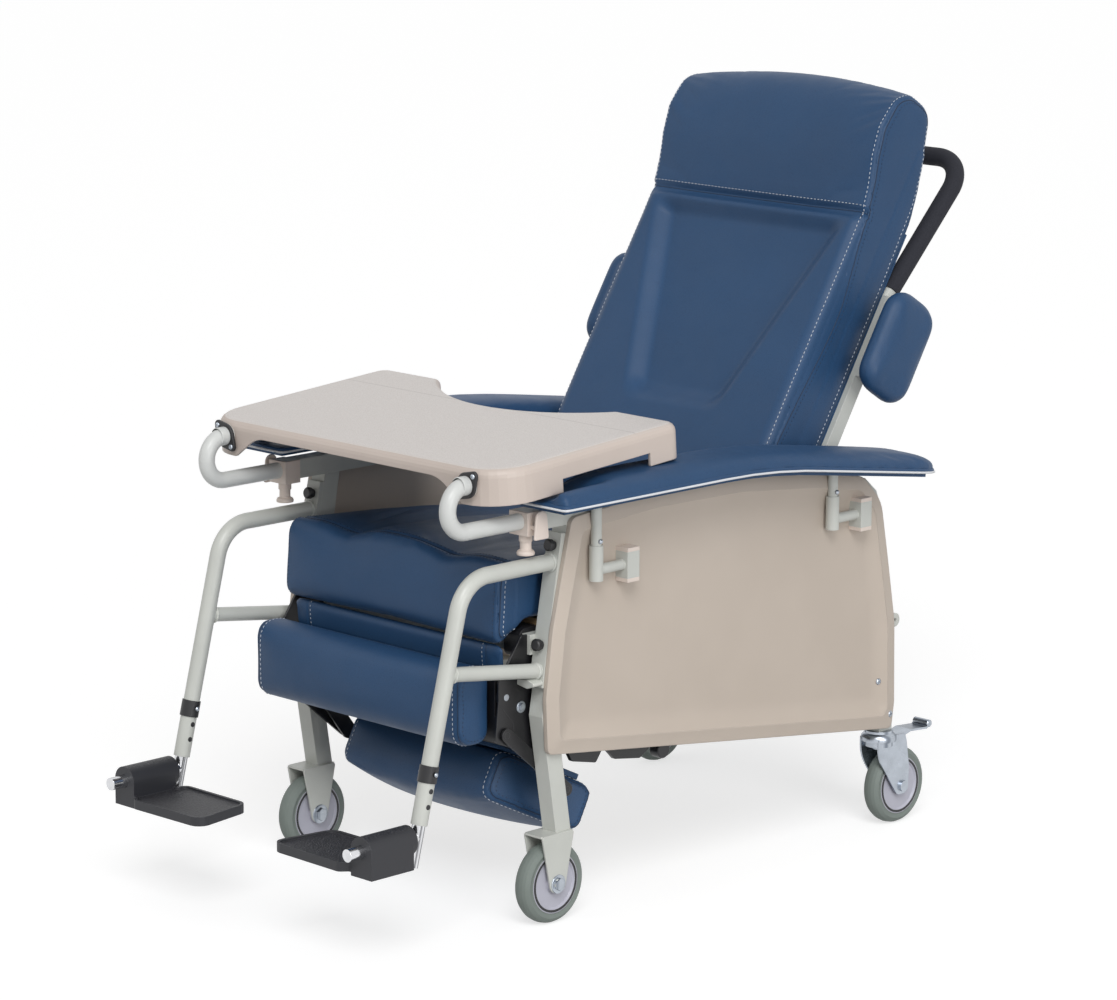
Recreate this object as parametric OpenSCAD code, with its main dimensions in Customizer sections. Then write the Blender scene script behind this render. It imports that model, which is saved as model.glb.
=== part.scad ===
// Patient recliner chair on wheels: tilting back, swing-out leg rest, tray, lift-off armrests
// and telescopic footrests. Millimetres, +Z up, the sitter faces -Y, X = 0 is the middle plane.

/* [Side frames] */
// Distance between the centre planes of the two side frames
track_w = 530; // [520:1:545]
// Width of the frame tube across the chair
tube_w = 28; // [27:0.5:30]
// Depth of the frame tube seen from the side
tube_d = 30; // [26:1:32]
// Front leg, height of its forward knee
knee_z = 320; // [300:1:340]
// Front leg, position of its forward knee
knee_y = -311; // [-320:1:-300]
// Front leg, position of its foot on the fork
leg_foot_y = -282; // [-290:1:-275]
// Front leg, position of its top under the rail
leg_top_y = -262; // [-270:1:-255]
// Centre height of the top rail
rail_z = 618; // [612:1:622]
// Front end of the top rail
rail_front_y = -356; // [-366:1:-350]
// Rear upright, position at its foot
upright_y = 446; // [440:1:452]
// Lower rail, height of its lower edge at the front
low_rail_front_z = 265; // [255:1:275]
// Lower rail, height of its lower edge at the rear
low_rail_rear_z = 168; // [166:1:180]
// Middle post that carries the back, position
post_y = 240; // [232:1:246]
// Side of the square cross tubes
cross_d = 30; // [24:1:32]
// Front cross tube, centre height
cross_front_z = 425; // [420:1:428]
// Rear cross tube, centre height
cross_rear_z = 398; // [390:1:405]

/* [Side panels] */
// Sheet thickness of the moulded side panel
panel_t = 4; // [3:0.5:5]
// Width of the panel's raised rim
rim_w = 22; // [16:1:23]
// Step from the rim down to the recessed field
rim_h = 4; // [3:0.2:4.2]

/* [Wheels] */
// Wheel diameter
wheel_d = 125; // [122:1:128]
// Tyre width
tyre_w = 30; // [26:1:32]
// Hub diameter inside the tyre
hub_d = 92; // [80:1:98]
// Axle diameter
axle_d = 12; // [10:0.5:14]
// Front axle position
front_axle_y = -298; // [-304:1:-292]
// Fork plate thickness
fork_t = 3; // [2.5:0.5:4]
// Trail of the rear casters
trail = 38; // [32:1:44]
// Underside of the rear upright, on the caster race
caster_top_z = 160; // [158:1:164]

/* [Seat] */
// Seat and back cushion width
seat_w = 480; // [460:1:484]
// Seat depth
seat_l = 500; // [470:1:505]
// Front edge of the seat
seat_front_y = -374; // [-380:1:-368]
// Top of the seat at its front edge
seat_top_z = 553; // [545:1:565]
// Seat cushion thickness
seat_t = 92; // [84:1:96]
// Depth of the front lip below the cushion
lip_h = 36; // [24:1:38]
// Fall of the seat towards the back, degrees
seat_tilt = 4; // [3:0.5:5]
// Depth of the two thigh channels
channel_h = 15; // [8:1:20]
// Distance of the thigh channels from the middle
channel_x = 107; // [90:1:120]
// Board thickness under every cushion
board_t = 12; // [9:1:15]

/* [Back] */
// Lean of the back from upright, degrees
back_tilt = 32; // [30:0.5:34]
// Back cushion thickness
back_t = 106; // [96:1:112]
// Back cushion, length from its lower end to the headrest's crown
back_l = 763; // [745:1:766]
// Back cushion, start of the headrest above the lower end
headrest_s = 556; // [540:1:575]
// Depth of the hollow in the middle of the back
hollow_h = 24; // [10:1:30]
// Height of the back hinge
hinge_z = 450; // [446:1:456]
// Side of the square bars behind the back
bar_d = 25; // [22:1:28]
// Push handle, tube diameter
handle_d = 24; // [20:0.5:25]
// Push handle, outer diameter of its foam
grip_d = 30; // [28:1:34]
// Push handle, distance between its legs
handle_w = 450; // [430:1:454]
// Push handle, length of its legs
handle_l = 282; // [270:1:284]
// Push handle, lean from upright, degrees
handle_tilt = 44; // [42:0.5:46]
// Side wing pad, length, width and thickness
wing_l = 176; // [160:1:180]
// Side wing pad, width
wing_w = 118; // [100:1:122]
// Side wing pad, thickness
wing_t = 50; // [40:1:54]
// Side wing pad, gap from the back cushion
wing_gap = 34; // [28:1:40]

/* [Armrests] */
// Gap between the seat's side and the armrest
arm_gap = 10; // [8:1:14]
// Overall width over both armrests
arm_outer_w = 730; // [724:1:740]
// Armrest, front end
arm_front_y = -406; // [-410:1:-400]
// Armrest, rear end
arm_rear_y = 479; // [465:1:480]
// Armrest, height of its underside along the level front part
arm_z = 648; // [646:1:652]
// Armrest, thickness at the crown
arm_t = 28; // [24:0.5:28]
// Armrest, thickness of the flattened front end
arm_tip_t = 8; // [6:0.5:9]
// Armrest, fall of the rear part, degrees
arm_fall = 8.5; // [7:0.5:9]
// Armrest post diameter
peg_d = 16; // [12:0.5:17]
// Armrest socket, outer diameter
socket_d = 21; // [19:0.5:24]
// Armrest socket, lower and upper end
socket_z0 = 515; // [510:1:520]
// Armrest socket, upper end
socket_z1 = 568; // [560:1:574]
// Side of the square bracket tube
bracket_d = 25; // [22:1:28]

/* [Tray] */
// Tray width
tray_w = 650; // [630:1:660]
// Tray depth
tray_l = 380; // [370:1:384]
// Height of the tray's rear edge
tray_z = 738; // [737:1:745]
// Rear edge of the tray
tray_rear_y = -84; // [-90:1:-80]
// Fall of the tray towards the front, degrees
tray_tilt = 4.3; // [4:0.1:4.6]
// Depth of the tray's apron
apron_h = 54; // [48:1:54]
// Wall thickness of the tray
tray_t = 5; // [4:0.5:6]
// Depth of the rounded cut-out for the body
belly_l = 85; // [70:1:95]
// Half width of the cut-out for the body
belly_x = 195; // [170:1:205]
// Tray tube diameter
tray_tube_d = 25; // [22:0.5:25]
// Height of the upper run of the tray tubes
tray_tube_z = 686; // [682:1:688]
// Bend radius of the tray tubes
tray_bend_r = 34; // [30:1:34]
// Length of tray tube inside the top rail
tray_tube_in = 270; // [230:1:290]

/* [Footrests] */
// Hanger tube diameter
hang_d = 25; // [24:0.5:27]
// Height of the hanger's upper tube
hang_z = 548; // [544:1:552]
// Height of the hanger's cross tube
hang_cross_z = 414; // [410:1:418]
// Reach of the hanger's bend
hang_y = -472; // [-478:1:-466]
// Slant of the hanger's drop tube, degrees
hang_slant = 14.4; // [13.5:0.1:15]
// Lower end of the drop tube
hang_end_z = 202; // [200:1:210]
// Diameter of the sliding tube
slide_d = 20; // [18:0.5:21]
// Height of the footplate pivot
plate_pivot_z = 184; // [180:1:188]
// Front end of the footplate pivot
plate_front_y = -700; // [-706:1:-694]
// Footplate, reach towards the middle
plate_w = 172; // [150:1:176]
// Footplate thickness
plate_t = 11; // [10:1:14]

/* [Leg rest] */
// Width of the calf and foot pads
pad_w = 464; // [440:1:466]
// Calf pad, height
calf_h = 124; // [116:1:126]
// Calf pad, thickness
calf_t = 67; // [56:1:68]
// Foot pad, length
foot_l = 170; // [156:1:172]
// Foot pad, thickness
foot_t = 84; // [72:1:86]
// Thickness of the linkage plates
link_t = 4; // [3:0.5:4.2]
// Diameter of the linkage pins
pin_d = 10; // [8:0.5:11]

/* [Clearances] */
// Radial play of pins and shafts in their bores
run_gap = 0.05; // [0.02:0.01:0.1]
// Play between soft or rigid pieces that only lie against each other
lie_gap = 0.3; // [0.3:0.05:0.5]

/* [Hidden] */
$fn = 48;

// Colours of the real finishes
frame_grey = [0.78, 0.79, 0.77];
beige = [0.75, 0.70, 0.66];
pale_beige = [0.89, 0.84, 0.80];
vinyl_blue = [0.19, 0.31, 0.47];
black = [0.09, 0.09, 0.10];
tyre_grey = [0.49, 0.53, 0.51];
hub_lilac = [0.70, 0.70, 0.75];
zinc = [0.72, 0.73, 0.75];
wood = [0.62, 0.52, 0.40];

// Planes across the chair
frame_x = track_w / 2;
tube_in_x = frame_x - tube_w / 2;
tube_out_x = frame_x + tube_w / 2;
panel_x = tube_out_x + lie_gap;
field_x = panel_x;
half_seat = seat_w / 2;
mech_x = half_seat + 1;
link_x = mech_x + link_t + 1;
swing_x = pad_w / 2 + 3;

// Frame lines in the side view, as [y, z]
fork_top_z = 140;
leg_foot = [leg_foot_y, fork_top_z];
leg_knee = [knee_y, knee_z];
leg_top = [leg_top_y, rail_z - tube_d / 2];
leg_dir = unit(leg_top - leg_knee);
leg_nrm = perp(leg_dir);
leg_line = [
    leg_foot - unit(leg_knee - leg_foot) * tube_d / 2, leg_knee, leg_top + leg_dir * tube_d / 2
];
rail_rear_y = 60;
upright_line = [
    [upright_y, caster_top_z - tube_d / 2], [upright_y - 4, 341], [upright_y - 22, 441],
    [upright_y - 36, 525], [upright_y - 46, 548], [upright_y - 68, 567], [upright_y - 104, rail_z - 41],
    [250, rail_z - 24], [172, rail_z - 11], [110, rail_z - 2],
    [rail_rear_y + tube_d / 2, rail_z], [rail_rear_y, rail_z]
];
low_rail_line = [
    [leg_knee[0], low_rail_front_z + tube_d / 2], [upright_y, low_rail_rear_z + tube_d / 2]
];
panel_corners = [
    [knee_y - 11, low_rail_front_z], [upright_y + 4, low_rail_rear_z - 3],
    [upright_y + 10, low_rail_rear_z + 40], [upright_y + 7, 341],
    [upright_y - 11, 441], [upright_y - 30, 540], [upright_y - 75, rail_z - 31],
    [250, rail_z - 11], [90, rail_z + 6], [-100, rail_z + 9], [leg_top_y - 12, rail_z - 4], [knee_y - 2, 450],
    [knee_y - 15, 348]
];
panel_outline = rounded(panel_corners, [10, 10, 20, 200, 300, 60, 40, 200, 200, 60, 14, 200, 60], 4);
panel_field = rounded(inset(panel_corners, rim_w),
    [12, 12, 0, 160, 240, 40, 24, 200, 200, 60, 14, 160, 40], 4);

// Seat and back in the side view
seat_pivot = [seat_front_y, seat_top_z];
seat_rear_s = seat_l;
hinge = [post_y, hinge_z];
bar_c = back_t + board_t + bar_d / 2;
back_foot_s = 5;
wing_s = 385;
wing_c = 114;
bar_top_s = 470;

// Leg rest linkage, as [y, z] at rest
leg_pivot = [-366, 352];
link_rear = [-244, 190];
link_front = [-369, 296];
calf_c = [-413, 342];
foot_c = [-275, 200];
foot_tilt = -28;

// Footrest lines
hang_dir = [-sin(hang_slant), -cos(hang_slant)];
hang_bend = [hang_y, hang_z];

function unit(v) = v / norm(v);
function perp(v) = [-v[1], v[0]];
function smooth01(t) = let (u = min(max(t, 0), 1)) u * u * (3 - 2 * u);

// Offset direction at one point of a polyline, scaled so that a strip keeps its width at bends
function mitre(p, i) =
    let (last = len(p) - 1)
    i == 0 ? perp(unit(p[1] - p[0])) :
    i == last ? perp(unit(p[last] - p[last - 1])) :
    let (a = perp(unit(p[i] - p[i - 1])))
    let (m = unit(a + perp(unit(p[i + 1] - p[i]))))
    m / (m * a);

// Closed outline of a strip of width w along a polyline
function strip(p, w) = concat(
    [for (i = [0 : len(p) - 1]) p[i] - mitre(p, i) * w / 2],
    [for (i = [len(p) - 1 : -1 : 0]) p[i] + mitre(p, i) * w / 2]
);

// Closed outline moved inwards by d, for points that run counter-clockwise
function inset(p, d) = [
    for (i = [0 : len(p) - 1])
        let (n = len(p))
        let (a = perp(unit(p[i] - p[(i + n - 1) % n])))
        let (m = unit(a + perp(unit(p[(i + 1) % n] - p[i]))))
        p[i] + m * d / (m * a)
];

// Arc that rounds the corner b between a and c
function corner_arc(a, b, c, r, n) =
    r == 0 ? [b] :
    let (u = unit(a - b), v = unit(c - b))
    let (half = acos(u * v) / 2)
    let (o = b + unit(u + v) * r / sin(half))
    let (s = b + u * r / tan(half) - o, e = b + v * r / tan(half) - o)
    let (a0 = atan2(s[1], s[0]), a1 = atan2(e[1], e[0]))
    let (turn = (a1 - a0 + 540) % 360 - 180)
    [for (k = [0 : n]) o + r * [cos(a0 + turn * k / n), sin(a0 + turn * k / n)]];

// Outline with each corner rounded by its own radius
function rounded(p, r, n) = [
    for (i = [0 : len(p) - 1])
        let (k = len(p))
        each corner_arc(p[(i + k - 1) % k], p[i], p[(i + 1) % k], r[i], n)
];

// Both sides of the chair
module both() {
    children();
    mirror([1, 0, 0]) children();
}

// Side-view outline pushed across the chair from x0 to x1
module across(x0, x1) {
    translate([x0, 0, 0]) rotate([90, 0, 90]) linear_extrude(x1 - x0) children();
}

// Side-view drawing plane set at x
module side_plane(x) {
    translate([x, 0, 0]) rotate([90, 0, 90]) children();
}

// Round bar between two points of the drawing plane
module rod(a, b, r) {
    translate([a[0], a[1], 0]) rotate([0, 0, atan2(b[1] - a[1], b[0] - a[0])])
        rotate([0, 90, 0]) cylinder(h = norm(b - a), r = r);
}

// Round bend at b on the way from a to c
module elbow(a, b, c, r, bend) {
    u = unit(b - a);
    v = unit(c - b);
    turn = atan2(u[0] * v[1] - u[1] * v[0], u * v);
    s = b - u * bend * tan(abs(turn) / 2);
    o = s + perp(u) * bend * sign(turn);
    from = atan2(s[1] - o[1], s[0] - o[0]) + min(turn, 0);
    translate([o[0], o[1], 0]) rotate([0, 0, from])
        rotate_extrude(angle = abs(turn)) translate([bend, 0]) circle(r = r);
}

function bend_trim(p, i, bend) =
    i == 0 || i == len(p) - 1 ? 0 :
    let (u = unit(p[i] - p[i - 1]), v = unit(p[i + 1] - p[i]))
    bend * tan(acos(min(u * v, 1)) / 2);

// Bent round bar along the points of the drawing plane
module bent_rod(p, r, bend) {
    for (i = [0 : len(p) - 2]) {
        u = unit(p[i + 1] - p[i]);
        rod(p[i] + u * bend_trim(p, i, bend), p[i + 1] - u * bend_trim(p, i + 1, bend), r);
    }
    for (i = [1 : 1 : len(p) - 2]) elbow(p[i - 1], p[i], p[i + 1], r, bend);
}

// Rounded rectangle as a counter-clockwise ring, with extra points along its faces
function box_ring(y0, y1, z0, z1, r, ny, nz, nc) = concat(
    [for (k = [0 : ny - 1]) [y0 + r + (y1 - y0 - 2 * r) * k / ny, z0]],
    [for (k = [0 : nc - 1]) [y1 - r + r * sin(90 * k / nc), z0 + r - r * cos(90 * k / nc)]],
    [for (k = [0 : nz - 1]) [y1, z0 + r + (z1 - z0 - 2 * r) * k / nz]],
    [for (k = [0 : nc - 1]) [y1 - r + r * cos(90 * k / nc), z1 - r + r * sin(90 * k / nc)]],
    [for (k = [0 : ny - 1]) [y1 - r - (y1 - y0 - 2 * r) * k / ny, z1]],
    [for (k = [0 : nc - 1]) [y0 + r - r * sin(90 * k / nc), z1 - r + r * cos(90 * k / nc)]],
    [for (k = [0 : nz - 1]) [y0, z1 - r - (z1 - z0 - 2 * r) * k / nz]],
    [for (k = [0 : nc - 1]) [y0 + r - r * cos(90 * k / nc), z0 + r - r * sin(90 * k / nc)]]
);

// How far a section shrinks near the rounded end of a cushion
function end_draw(x, half, r) =
    let (t = max(0, (abs(x) - half + r) / r))
    r * (1 - sqrt(1 - min(t, 1) * min(t, 1)));

// Closed skin over rings that have equal counts of points
module skin(rings) {
    m = len(rings[0]);
    last = len(rings) - 1;
    first_mid = (last + 1) * m;
    polyhedron(
        points = concat([for (ring = rings) each ring], [middle(rings[0]), middle(rings[last])]),
        faces = concat(
            [for (i = [0 : m - 1]) [first_mid, i, (i + 1) % m]],
            [for (i = [0 : m - 1]) [first_mid + 1, last * m + (i + 1) % m, last * m + i]],
            [for (k = [0 : last - 1], i = [0 : m - 1])
                [k * m + i, (k + 1) * m + i, (k + 1) * m + (i + 1) % m]],
            [for (k = [0 : last - 1], i = [0 : m - 1])
                [k * m + i, (k + 1) * m + (i + 1) % m, k * m + (i + 1) % m]]
        )
    );
}
function middle(ring) = sum_points(ring, 0) / len(ring);
function sum_points(ring, i) = i == len(ring) ? [0, 0, 0] : ring[i] + sum_points(ring, i + 1);

// Stations across a cushion, closer together near its ends
function stations(half, n) = [for (k = [0 : n]) -half * cos(180 * k / n)];

// Cushion: sections across X from box_ring, each point moved by form(x, [y, z])
module cushion(half, y0, y1, z0, z1, r, end_r, n, ny, nz, nc, form) {
    skin([
        for (x = stations(half, n))
            let (e = end_draw(x, half, end_r))
            [for (p = box_ring(y0 + e, y1 - e, z0 + e, z1 - e, max(r - e, 2), ny, nz, nc))
                form(x, p)]
    ]);
}

// Frame of the seat, tilted about its top front edge
module seat_place() {
    translate([0, seat_pivot[0], seat_pivot[1]]) rotate([-seat_tilt, 0, 0]) children();
}

// Frame of the back: Y from front to rear, Z up along the back, origin in line with the hinge
module back_place() {
    translate([0, hinge[0], hinge[1]]) rotate([-back_tilt, 0, 0])
        translate([0, -bar_c, 0]) children();
}

// Frame of the foot pad: Y along the pad, Z away from its face
module foot_place() {
    translate([0, foot_c[0], foot_c[1]]) rotate([foot_tilt, 0, 0]) children();
}

// Front legs: bent rectangular tube with a knee, standing on the fork plate
module front_leg() {
    difference() {
        across(tube_in_x, tube_out_x) polygon(strip(leg_line, tube_d));
        translate([0, leg_foot_y - track_w / 2, fork_top_z - track_w]) cube(track_w);
        translate([0, leg_top_y - track_w / 2, leg_top[1]]) cube(track_w);
        for (t = knob_places) knob_axis(t)
            cylinder(h = 2 * knob_in, d = knob_d + 2 * run_gap, center = true);
    }
}
module front_legs() {
    color(frame_grey) both() front_leg();
}

// Top rails: square tube under the armrest, bored at the front for the tray tube
module top_rail_body() {
    across(tube_in_x, tube_out_x) polygon(strip([[rail_front_y, rail_z], [rail_rear_y, rail_z]], tube_d));
}
module top_rails() {
    color(frame_grey) both() difference() {
        top_rail_body();
        translate([frame_x, rail_front_y - 1, rail_z]) rotate([-90, 0, 0])
            cylinder(h = tray_tube_in + 40, d = tray_tube_d + 2 * run_gap);
    }
}

// Rear uprights: tube that rises from the caster and bends forward into the top rail
module upright_body() {
    across(tube_in_x, tube_out_x) polygon(strip(upright_line, tube_d));
}
module rear_uprights() {
    color(frame_grey) both() difference() {
        upright_body();
        translate([0, upright_y - track_w / 2, caster_top_z - track_w]) cube(track_w);
        translate([frame_x, upright_y, caster_top_z - 1])
            cylinder(h = stem_in + 1, d = axle_d + 2 * run_gap);
    }
}

// Lower rails: tube that falls towards the rear between leg and upright
module lower_rails() {
    color(frame_grey) both() difference() {
        across(tube_in_x, tube_out_x) polygon(strip(low_rail_line, tube_d));
        across(tube_in_x - 1, tube_out_x + 1) polygon(strip(leg_line, tube_d));
        across(tube_in_x - 1, tube_out_x + 1) polygon(strip(upright_line, tube_d));
    }
}

// Middle posts: upright tubes between the rails that carry the back hinge
module middle_post() {
    difference() {
        across(tube_in_x, tube_out_x)
            polygon(strip([[post_y, low_rail_rear_z], [post_y, rail_z - tube_d]], tube_d));
        across(tube_in_x - 1, tube_out_x + 1) polygon(strip(low_rail_line, tube_d));
        across(tube_in_x - 1, tube_out_x + 1) polygon(strip(upright_line, tube_d));
        across(tube_in_x - 1, tube_out_x + 1)
            polygon([
                [post_y - tube_d, 0], [post_y + tube_d, 0],
                [post_y + tube_d, low_rail_z(post_y + tube_d)],
                [post_y - tube_d, low_rail_z(post_y - tube_d)]
            ]);
        translate([tube_in_x - 1, hinge[0], hinge[1]]) rotate([0, 90, 0])
            cylinder(h = tube_w / 2, d = hinge_pin_d + 2 * run_gap);
    }
}
function low_rail_z(y) =
    let (a = low_rail_line[0], b = low_rail_line[1])
    a[1] + (b[1] - a[1]) * (y - a[0]) / (b[0] - a[0]);
hinge_pin_d = 14;
module middle_posts() {
    color(frame_grey) both() middle_post();
}

// Cross tubes: square tubes between the legs and between the middle posts
cross_front_y = knee_y + 2;
module cross_tubes() {
    color(frame_grey) {
        difference() {
            translate([-tube_in_x, cross_front_y - cross_d / 2, cross_front_z - cross_d / 2])
                cube([2 * tube_in_x, cross_d, cross_d]);
            both() across(tube_in_x - 1, tube_out_x) polygon(strip(leg_line, tube_d));
        }
        translate([-tube_in_x, post_y - cross_d / 2, cross_rear_z - cross_d / 2])
            cube([2 * tube_in_x, cross_d, cross_d]);
    }
}

// Cross tube caps: black moulded sleeves near the ends of the front cross tube
cap_wall = 7;
cap_w = 32;
module cross_tube_caps() {
    outer = cross_d + 2 * cap_wall;
    c = [cross_front_y, cross_front_z];
    color(black) both() difference() {
        across(swing_x - cap_w, swing_x)
            polygon(rounded([
                c + [-outer / 2, -outer / 2], c + [outer / 2, -outer / 2],
                c + [outer / 2, outer / 2], c + [-outer / 2, outer / 2]
            ], [10, 6, 6, 14], 5));
        translate([swing_x - cap_w - 1, cross_front_y - cross_d / 2, cross_front_z - cross_d / 2])
            cube([cap_w + 2, cross_d, cross_d]);
    }
}

// Side panels: moulded sheet with a raised rim round a recessed field
module side_panel() {
    difference() {
        across(panel_x, panel_x + panel_t + rim_h) polygon(panel_outline);
        across(panel_x + panel_t, panel_x + panel_t + rim_h + 1) polygon(panel_field);
    }
}
module side_panels() {
    color(beige) both() side_panel();
}

// Armrest line: level at the front, then a large bend and a straight fall to the rear
arm_bend_y = -20;
arm_bend_r = 1300;
arm_fall_y = arm_bend_y + arm_bend_r * sin(arm_fall);
function arm_under(y) =
    y < arm_bend_y ? arm_z :
    y < arm_fall_y ? arm_z - arm_bend_r + sqrt(pow(arm_bend_r, 2) - pow(y - arm_bend_y, 2)) :
    arm_z - arm_bend_r * (1 - cos(arm_fall)) - (y - arm_fall_y) * tan(arm_fall);
arm_w = arm_outer_w / 2 - half_seat - arm_gap;
arm_x = arm_outer_w / 2 - arm_w / 2;
bracket_y = [-166, 356];
socket_reach = 66;
bracket_x = panel_x + panel_t + bracket_d / 2;
bracket_z = 531;
bracket_h = 40;
bracket_cap_h = 6;

// Armrest brackets: square tube on the panel, round arm and upright socket for the post
module armrest_brackets() {
    color(frame_grey) both() for (y = bracket_y) difference() {
        union() {
            translate([bracket_x - bracket_d / 2, y - bracket_d / 2, bracket_z - bracket_h / 2])
                cube([bracket_d, bracket_d, bracket_h]);
            translate([bracket_x, y - socket_reach, bracket_z]) rotate([-90, 0, 0])
                cylinder(h = socket_reach - bracket_d / 4, d = peg_d);
            translate([bracket_x, y - socket_reach, socket_z0])
                cylinder(h = socket_z1 - socket_z0, d = socket_d);
        }
        translate([bracket_x, y - socket_reach, socket_z0 + panel_t])
            cylinder(h = socket_z1 - socket_z0, d = peg_d + 2 * run_gap);
    }
}

// Bracket caps: moulded plugs on both ends of each square bracket tube
module bracket_caps() {
    color(pale_beige) both() for (y = bracket_y, up = [0, 1])
        translate([bracket_x - bracket_d / 2, y - bracket_d / 2, bracket_z])
            mirror([0, 0, up])
                translate([0, 0, bracket_h / 2]) cube([bracket_d, bracket_d, bracket_cap_h]);
}

// Armrest posts: round pegs that drop into the sockets
button_d = 7;
button_z = socket_z1 + 7;
module armrest_post(y) {
    difference() {
        translate([bracket_x, y, socket_z0 + panel_t + lie_gap])
            cylinder(h = arm_z - socket_z0, d = peg_d);
        armrest_board_body(2 * arm_t);
        translate([bracket_x, y, button_z]) rotate([0, 90, 0])
            cylinder(h = peg_d, d = button_d + 2 * run_gap);
    }
}
module armrest_posts() {
    color(frame_grey) both() for (y = bracket_y) armrest_post(y - socket_reach);
}

// Armrest buttons: spring buttons in the posts that lock them in the sockets
button_out = 3.5;
module armrest_button_pair() {
    for (y = bracket_y)
        translate([bracket_x + lie_gap, y - socket_reach, button_z]) rotate([0, 90, 0])
            rotate_extrude() polygon([
                [0, 4], [button_d / 2, 4], [button_d / 2, peg_d / 2 + button_out - 1.5],
                [button_d / 2 - 1.5, peg_d / 2 + button_out], [0, peg_d / 2 + button_out]
            ]);
}
module armrest_buttons_left() {
    color(zinc) armrest_button_pair();
}
module armrest_buttons_right() {
    color(zinc) mirror([1, 0, 0]) armrest_button_pair();
}

// Armrest boards: stiff strip under each pad, carried by the posts
arm_board_t = 8;
arm_board_edge = 12;
module armrest_board_body(extra) {
    y0 = arm_front_y + arm_board_edge;
    y1 = arm_rear_y - 2 * arm_board_edge;
    line = [for (y = arm_stations) if (y >= y0 && y <= y1)
        [y, arm_under(y) - lie_gap - (arm_board_t - extra) / 2]];
    across(arm_x - arm_w / 2 + arm_board_edge, arm_x + arm_w / 2 - arm_board_edge)
        polygon(strip(line, arm_board_t + extra));
}
module armrest_boards() {
    color(wood) both() armrest_board_body(0);
}

// Armrest pads: crowned pads, flat below, pressed thin under the tray's front, rounded at the rear
arm_free_x = tray_w / 2 + 3 - arm_x;
function arm_top(x, y) =
    arm_tip_t + (arm_t - arm_tip_t) * max(smooth01((y + 312) / 62), smooth01((x - arm_free_x) / 16));
function arm_half(y) =
    let (t = max(0, (y - arm_rear_y + 60) / 60))
    let (f = max(0, (arm_front_y + 12 - y) / 12))
    arm_w / 2 - 34 * (1 - sqrt(1 - t * t)) - 6 * (1 - sqrt(1 - f * f));
function arm_section(y, rise) =
    let (h = arm_half(y), n = 12)
    concat(
        [[-h, y, arm_under(y)]],
        [for (k = [0 : n])
            let (a = 180 * k / n)
            let (x = -h * pow(abs(cos(a)), 0.6) * sign(cos(a)), t = arm_top(x, y) * rise)
            [x, y, arm_under(y) + 3 + (t - 3) * pow(sin(a), 0.55)]],
        [[h, y, arm_under(y)]]
    );
arm_stations = concat(
    [arm_front_y, arm_front_y + 4, arm_front_y + 12, -360, -318, -300, -280, -264, -246],
    [for (k = [0 : 10]) -200 + 58 * k],
    [for (k = [0 : 7]) arm_rear_y - 60 * (1 - sin(90 * k / 7)) - 0.5]
);
module armrest_pad() {
    translate([arm_x, 0, 0]) skin([
        for (y = arm_stations)
            let (f = min(1, (y - arm_front_y) / 12), r = min(1, (arm_rear_y - y) / 40))
            arm_section(y, min(0.55 + 0.45 * sqrt(f), 0.45 + 0.55 * sqrt(r)))
    ]);
}
module armrest_pads() {
    color(vinyl_blue) both() armrest_pad();
}

// Seat cushion: crowned top with two thigh channels and a lip that rolls over the front
lip_d = 18;
board_set = 78;
function seat_form(x, p) =
    let (u = x / half_seat, s = p[0] / seat_l)
    let (top = max(0, (p[1] + seat_t) / seat_t))
    let (crown = 8 * (1 - u * u) * (1 - pow(2 * s - 1, 2)))
    let (dip = channel_h * exp(-pow((abs(x) - channel_x) / 42, 2)) * smooth01((0.9 - s) * 4))
    let (pull = 1 - 0.012 * (1 - pow(2 * s - 1, 2)))
    let (drop = lip_h * smooth01((lip_d + 14 - p[0]) / 14) * (1 - top))
    [x * pull, p[0], p[1] + top * (crown - dip - 8 * u * u) - drop];
module seat_cushion() {
    color(vinyl_blue) seat_place()
        cushion(half_seat, 0, seat_l, -seat_t, 0, 20, 12, 25, 10, 4, 5,
            function (x, p) seat_form(x, p));
}

// Seat board: plywood under the seat cushion, carried by the seat rails
module seat_board() {
    color(wood) seat_place()
        translate([-half_seat + 15, lip_d + board_set, -seat_t - lie_gap - board_t])
            cube([seat_w - 30, seat_l - lip_d - board_set - 6, board_t]);
}

// Seat rails: square tubes under the board, from the front to the rear cross tube
seat_rail_x = 165;
module seat_rails() {
    drop = seat_t + lie_gap + board_t;
    color(frame_grey) both() difference() {
        seat_place() translate([seat_rail_x - bar_d / 2, 30, -drop - bar_d])
            cube([bar_d, post_y - seat_front_y, bar_d]);
        translate([0, cross_front_y + cross_d / 2 - 500, 0]) cube([500, 500, 1000]);
        translate([0, post_y - cross_d / 2, 0]) cube([500, 500, 1000]);
    }
}

// Front apron: padded flap that closes the gap under the seat's lip
apron_d = 12;
apron_l = 27;
apron_rise = 2.1;
module front_apron() {
    z1 = seat_top_z - seat_t - lip_h + apron_rise;
    color(vinyl_blue) translate([0, seat_front_y + 10, z1])
        cushion(pad_w / 2 - 4, 0, apron_d, -apron_l, 0, 5, 3, 10, 2, 2, 3,
            function (x, p) [x, p[0], p[1]]);
}

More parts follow.
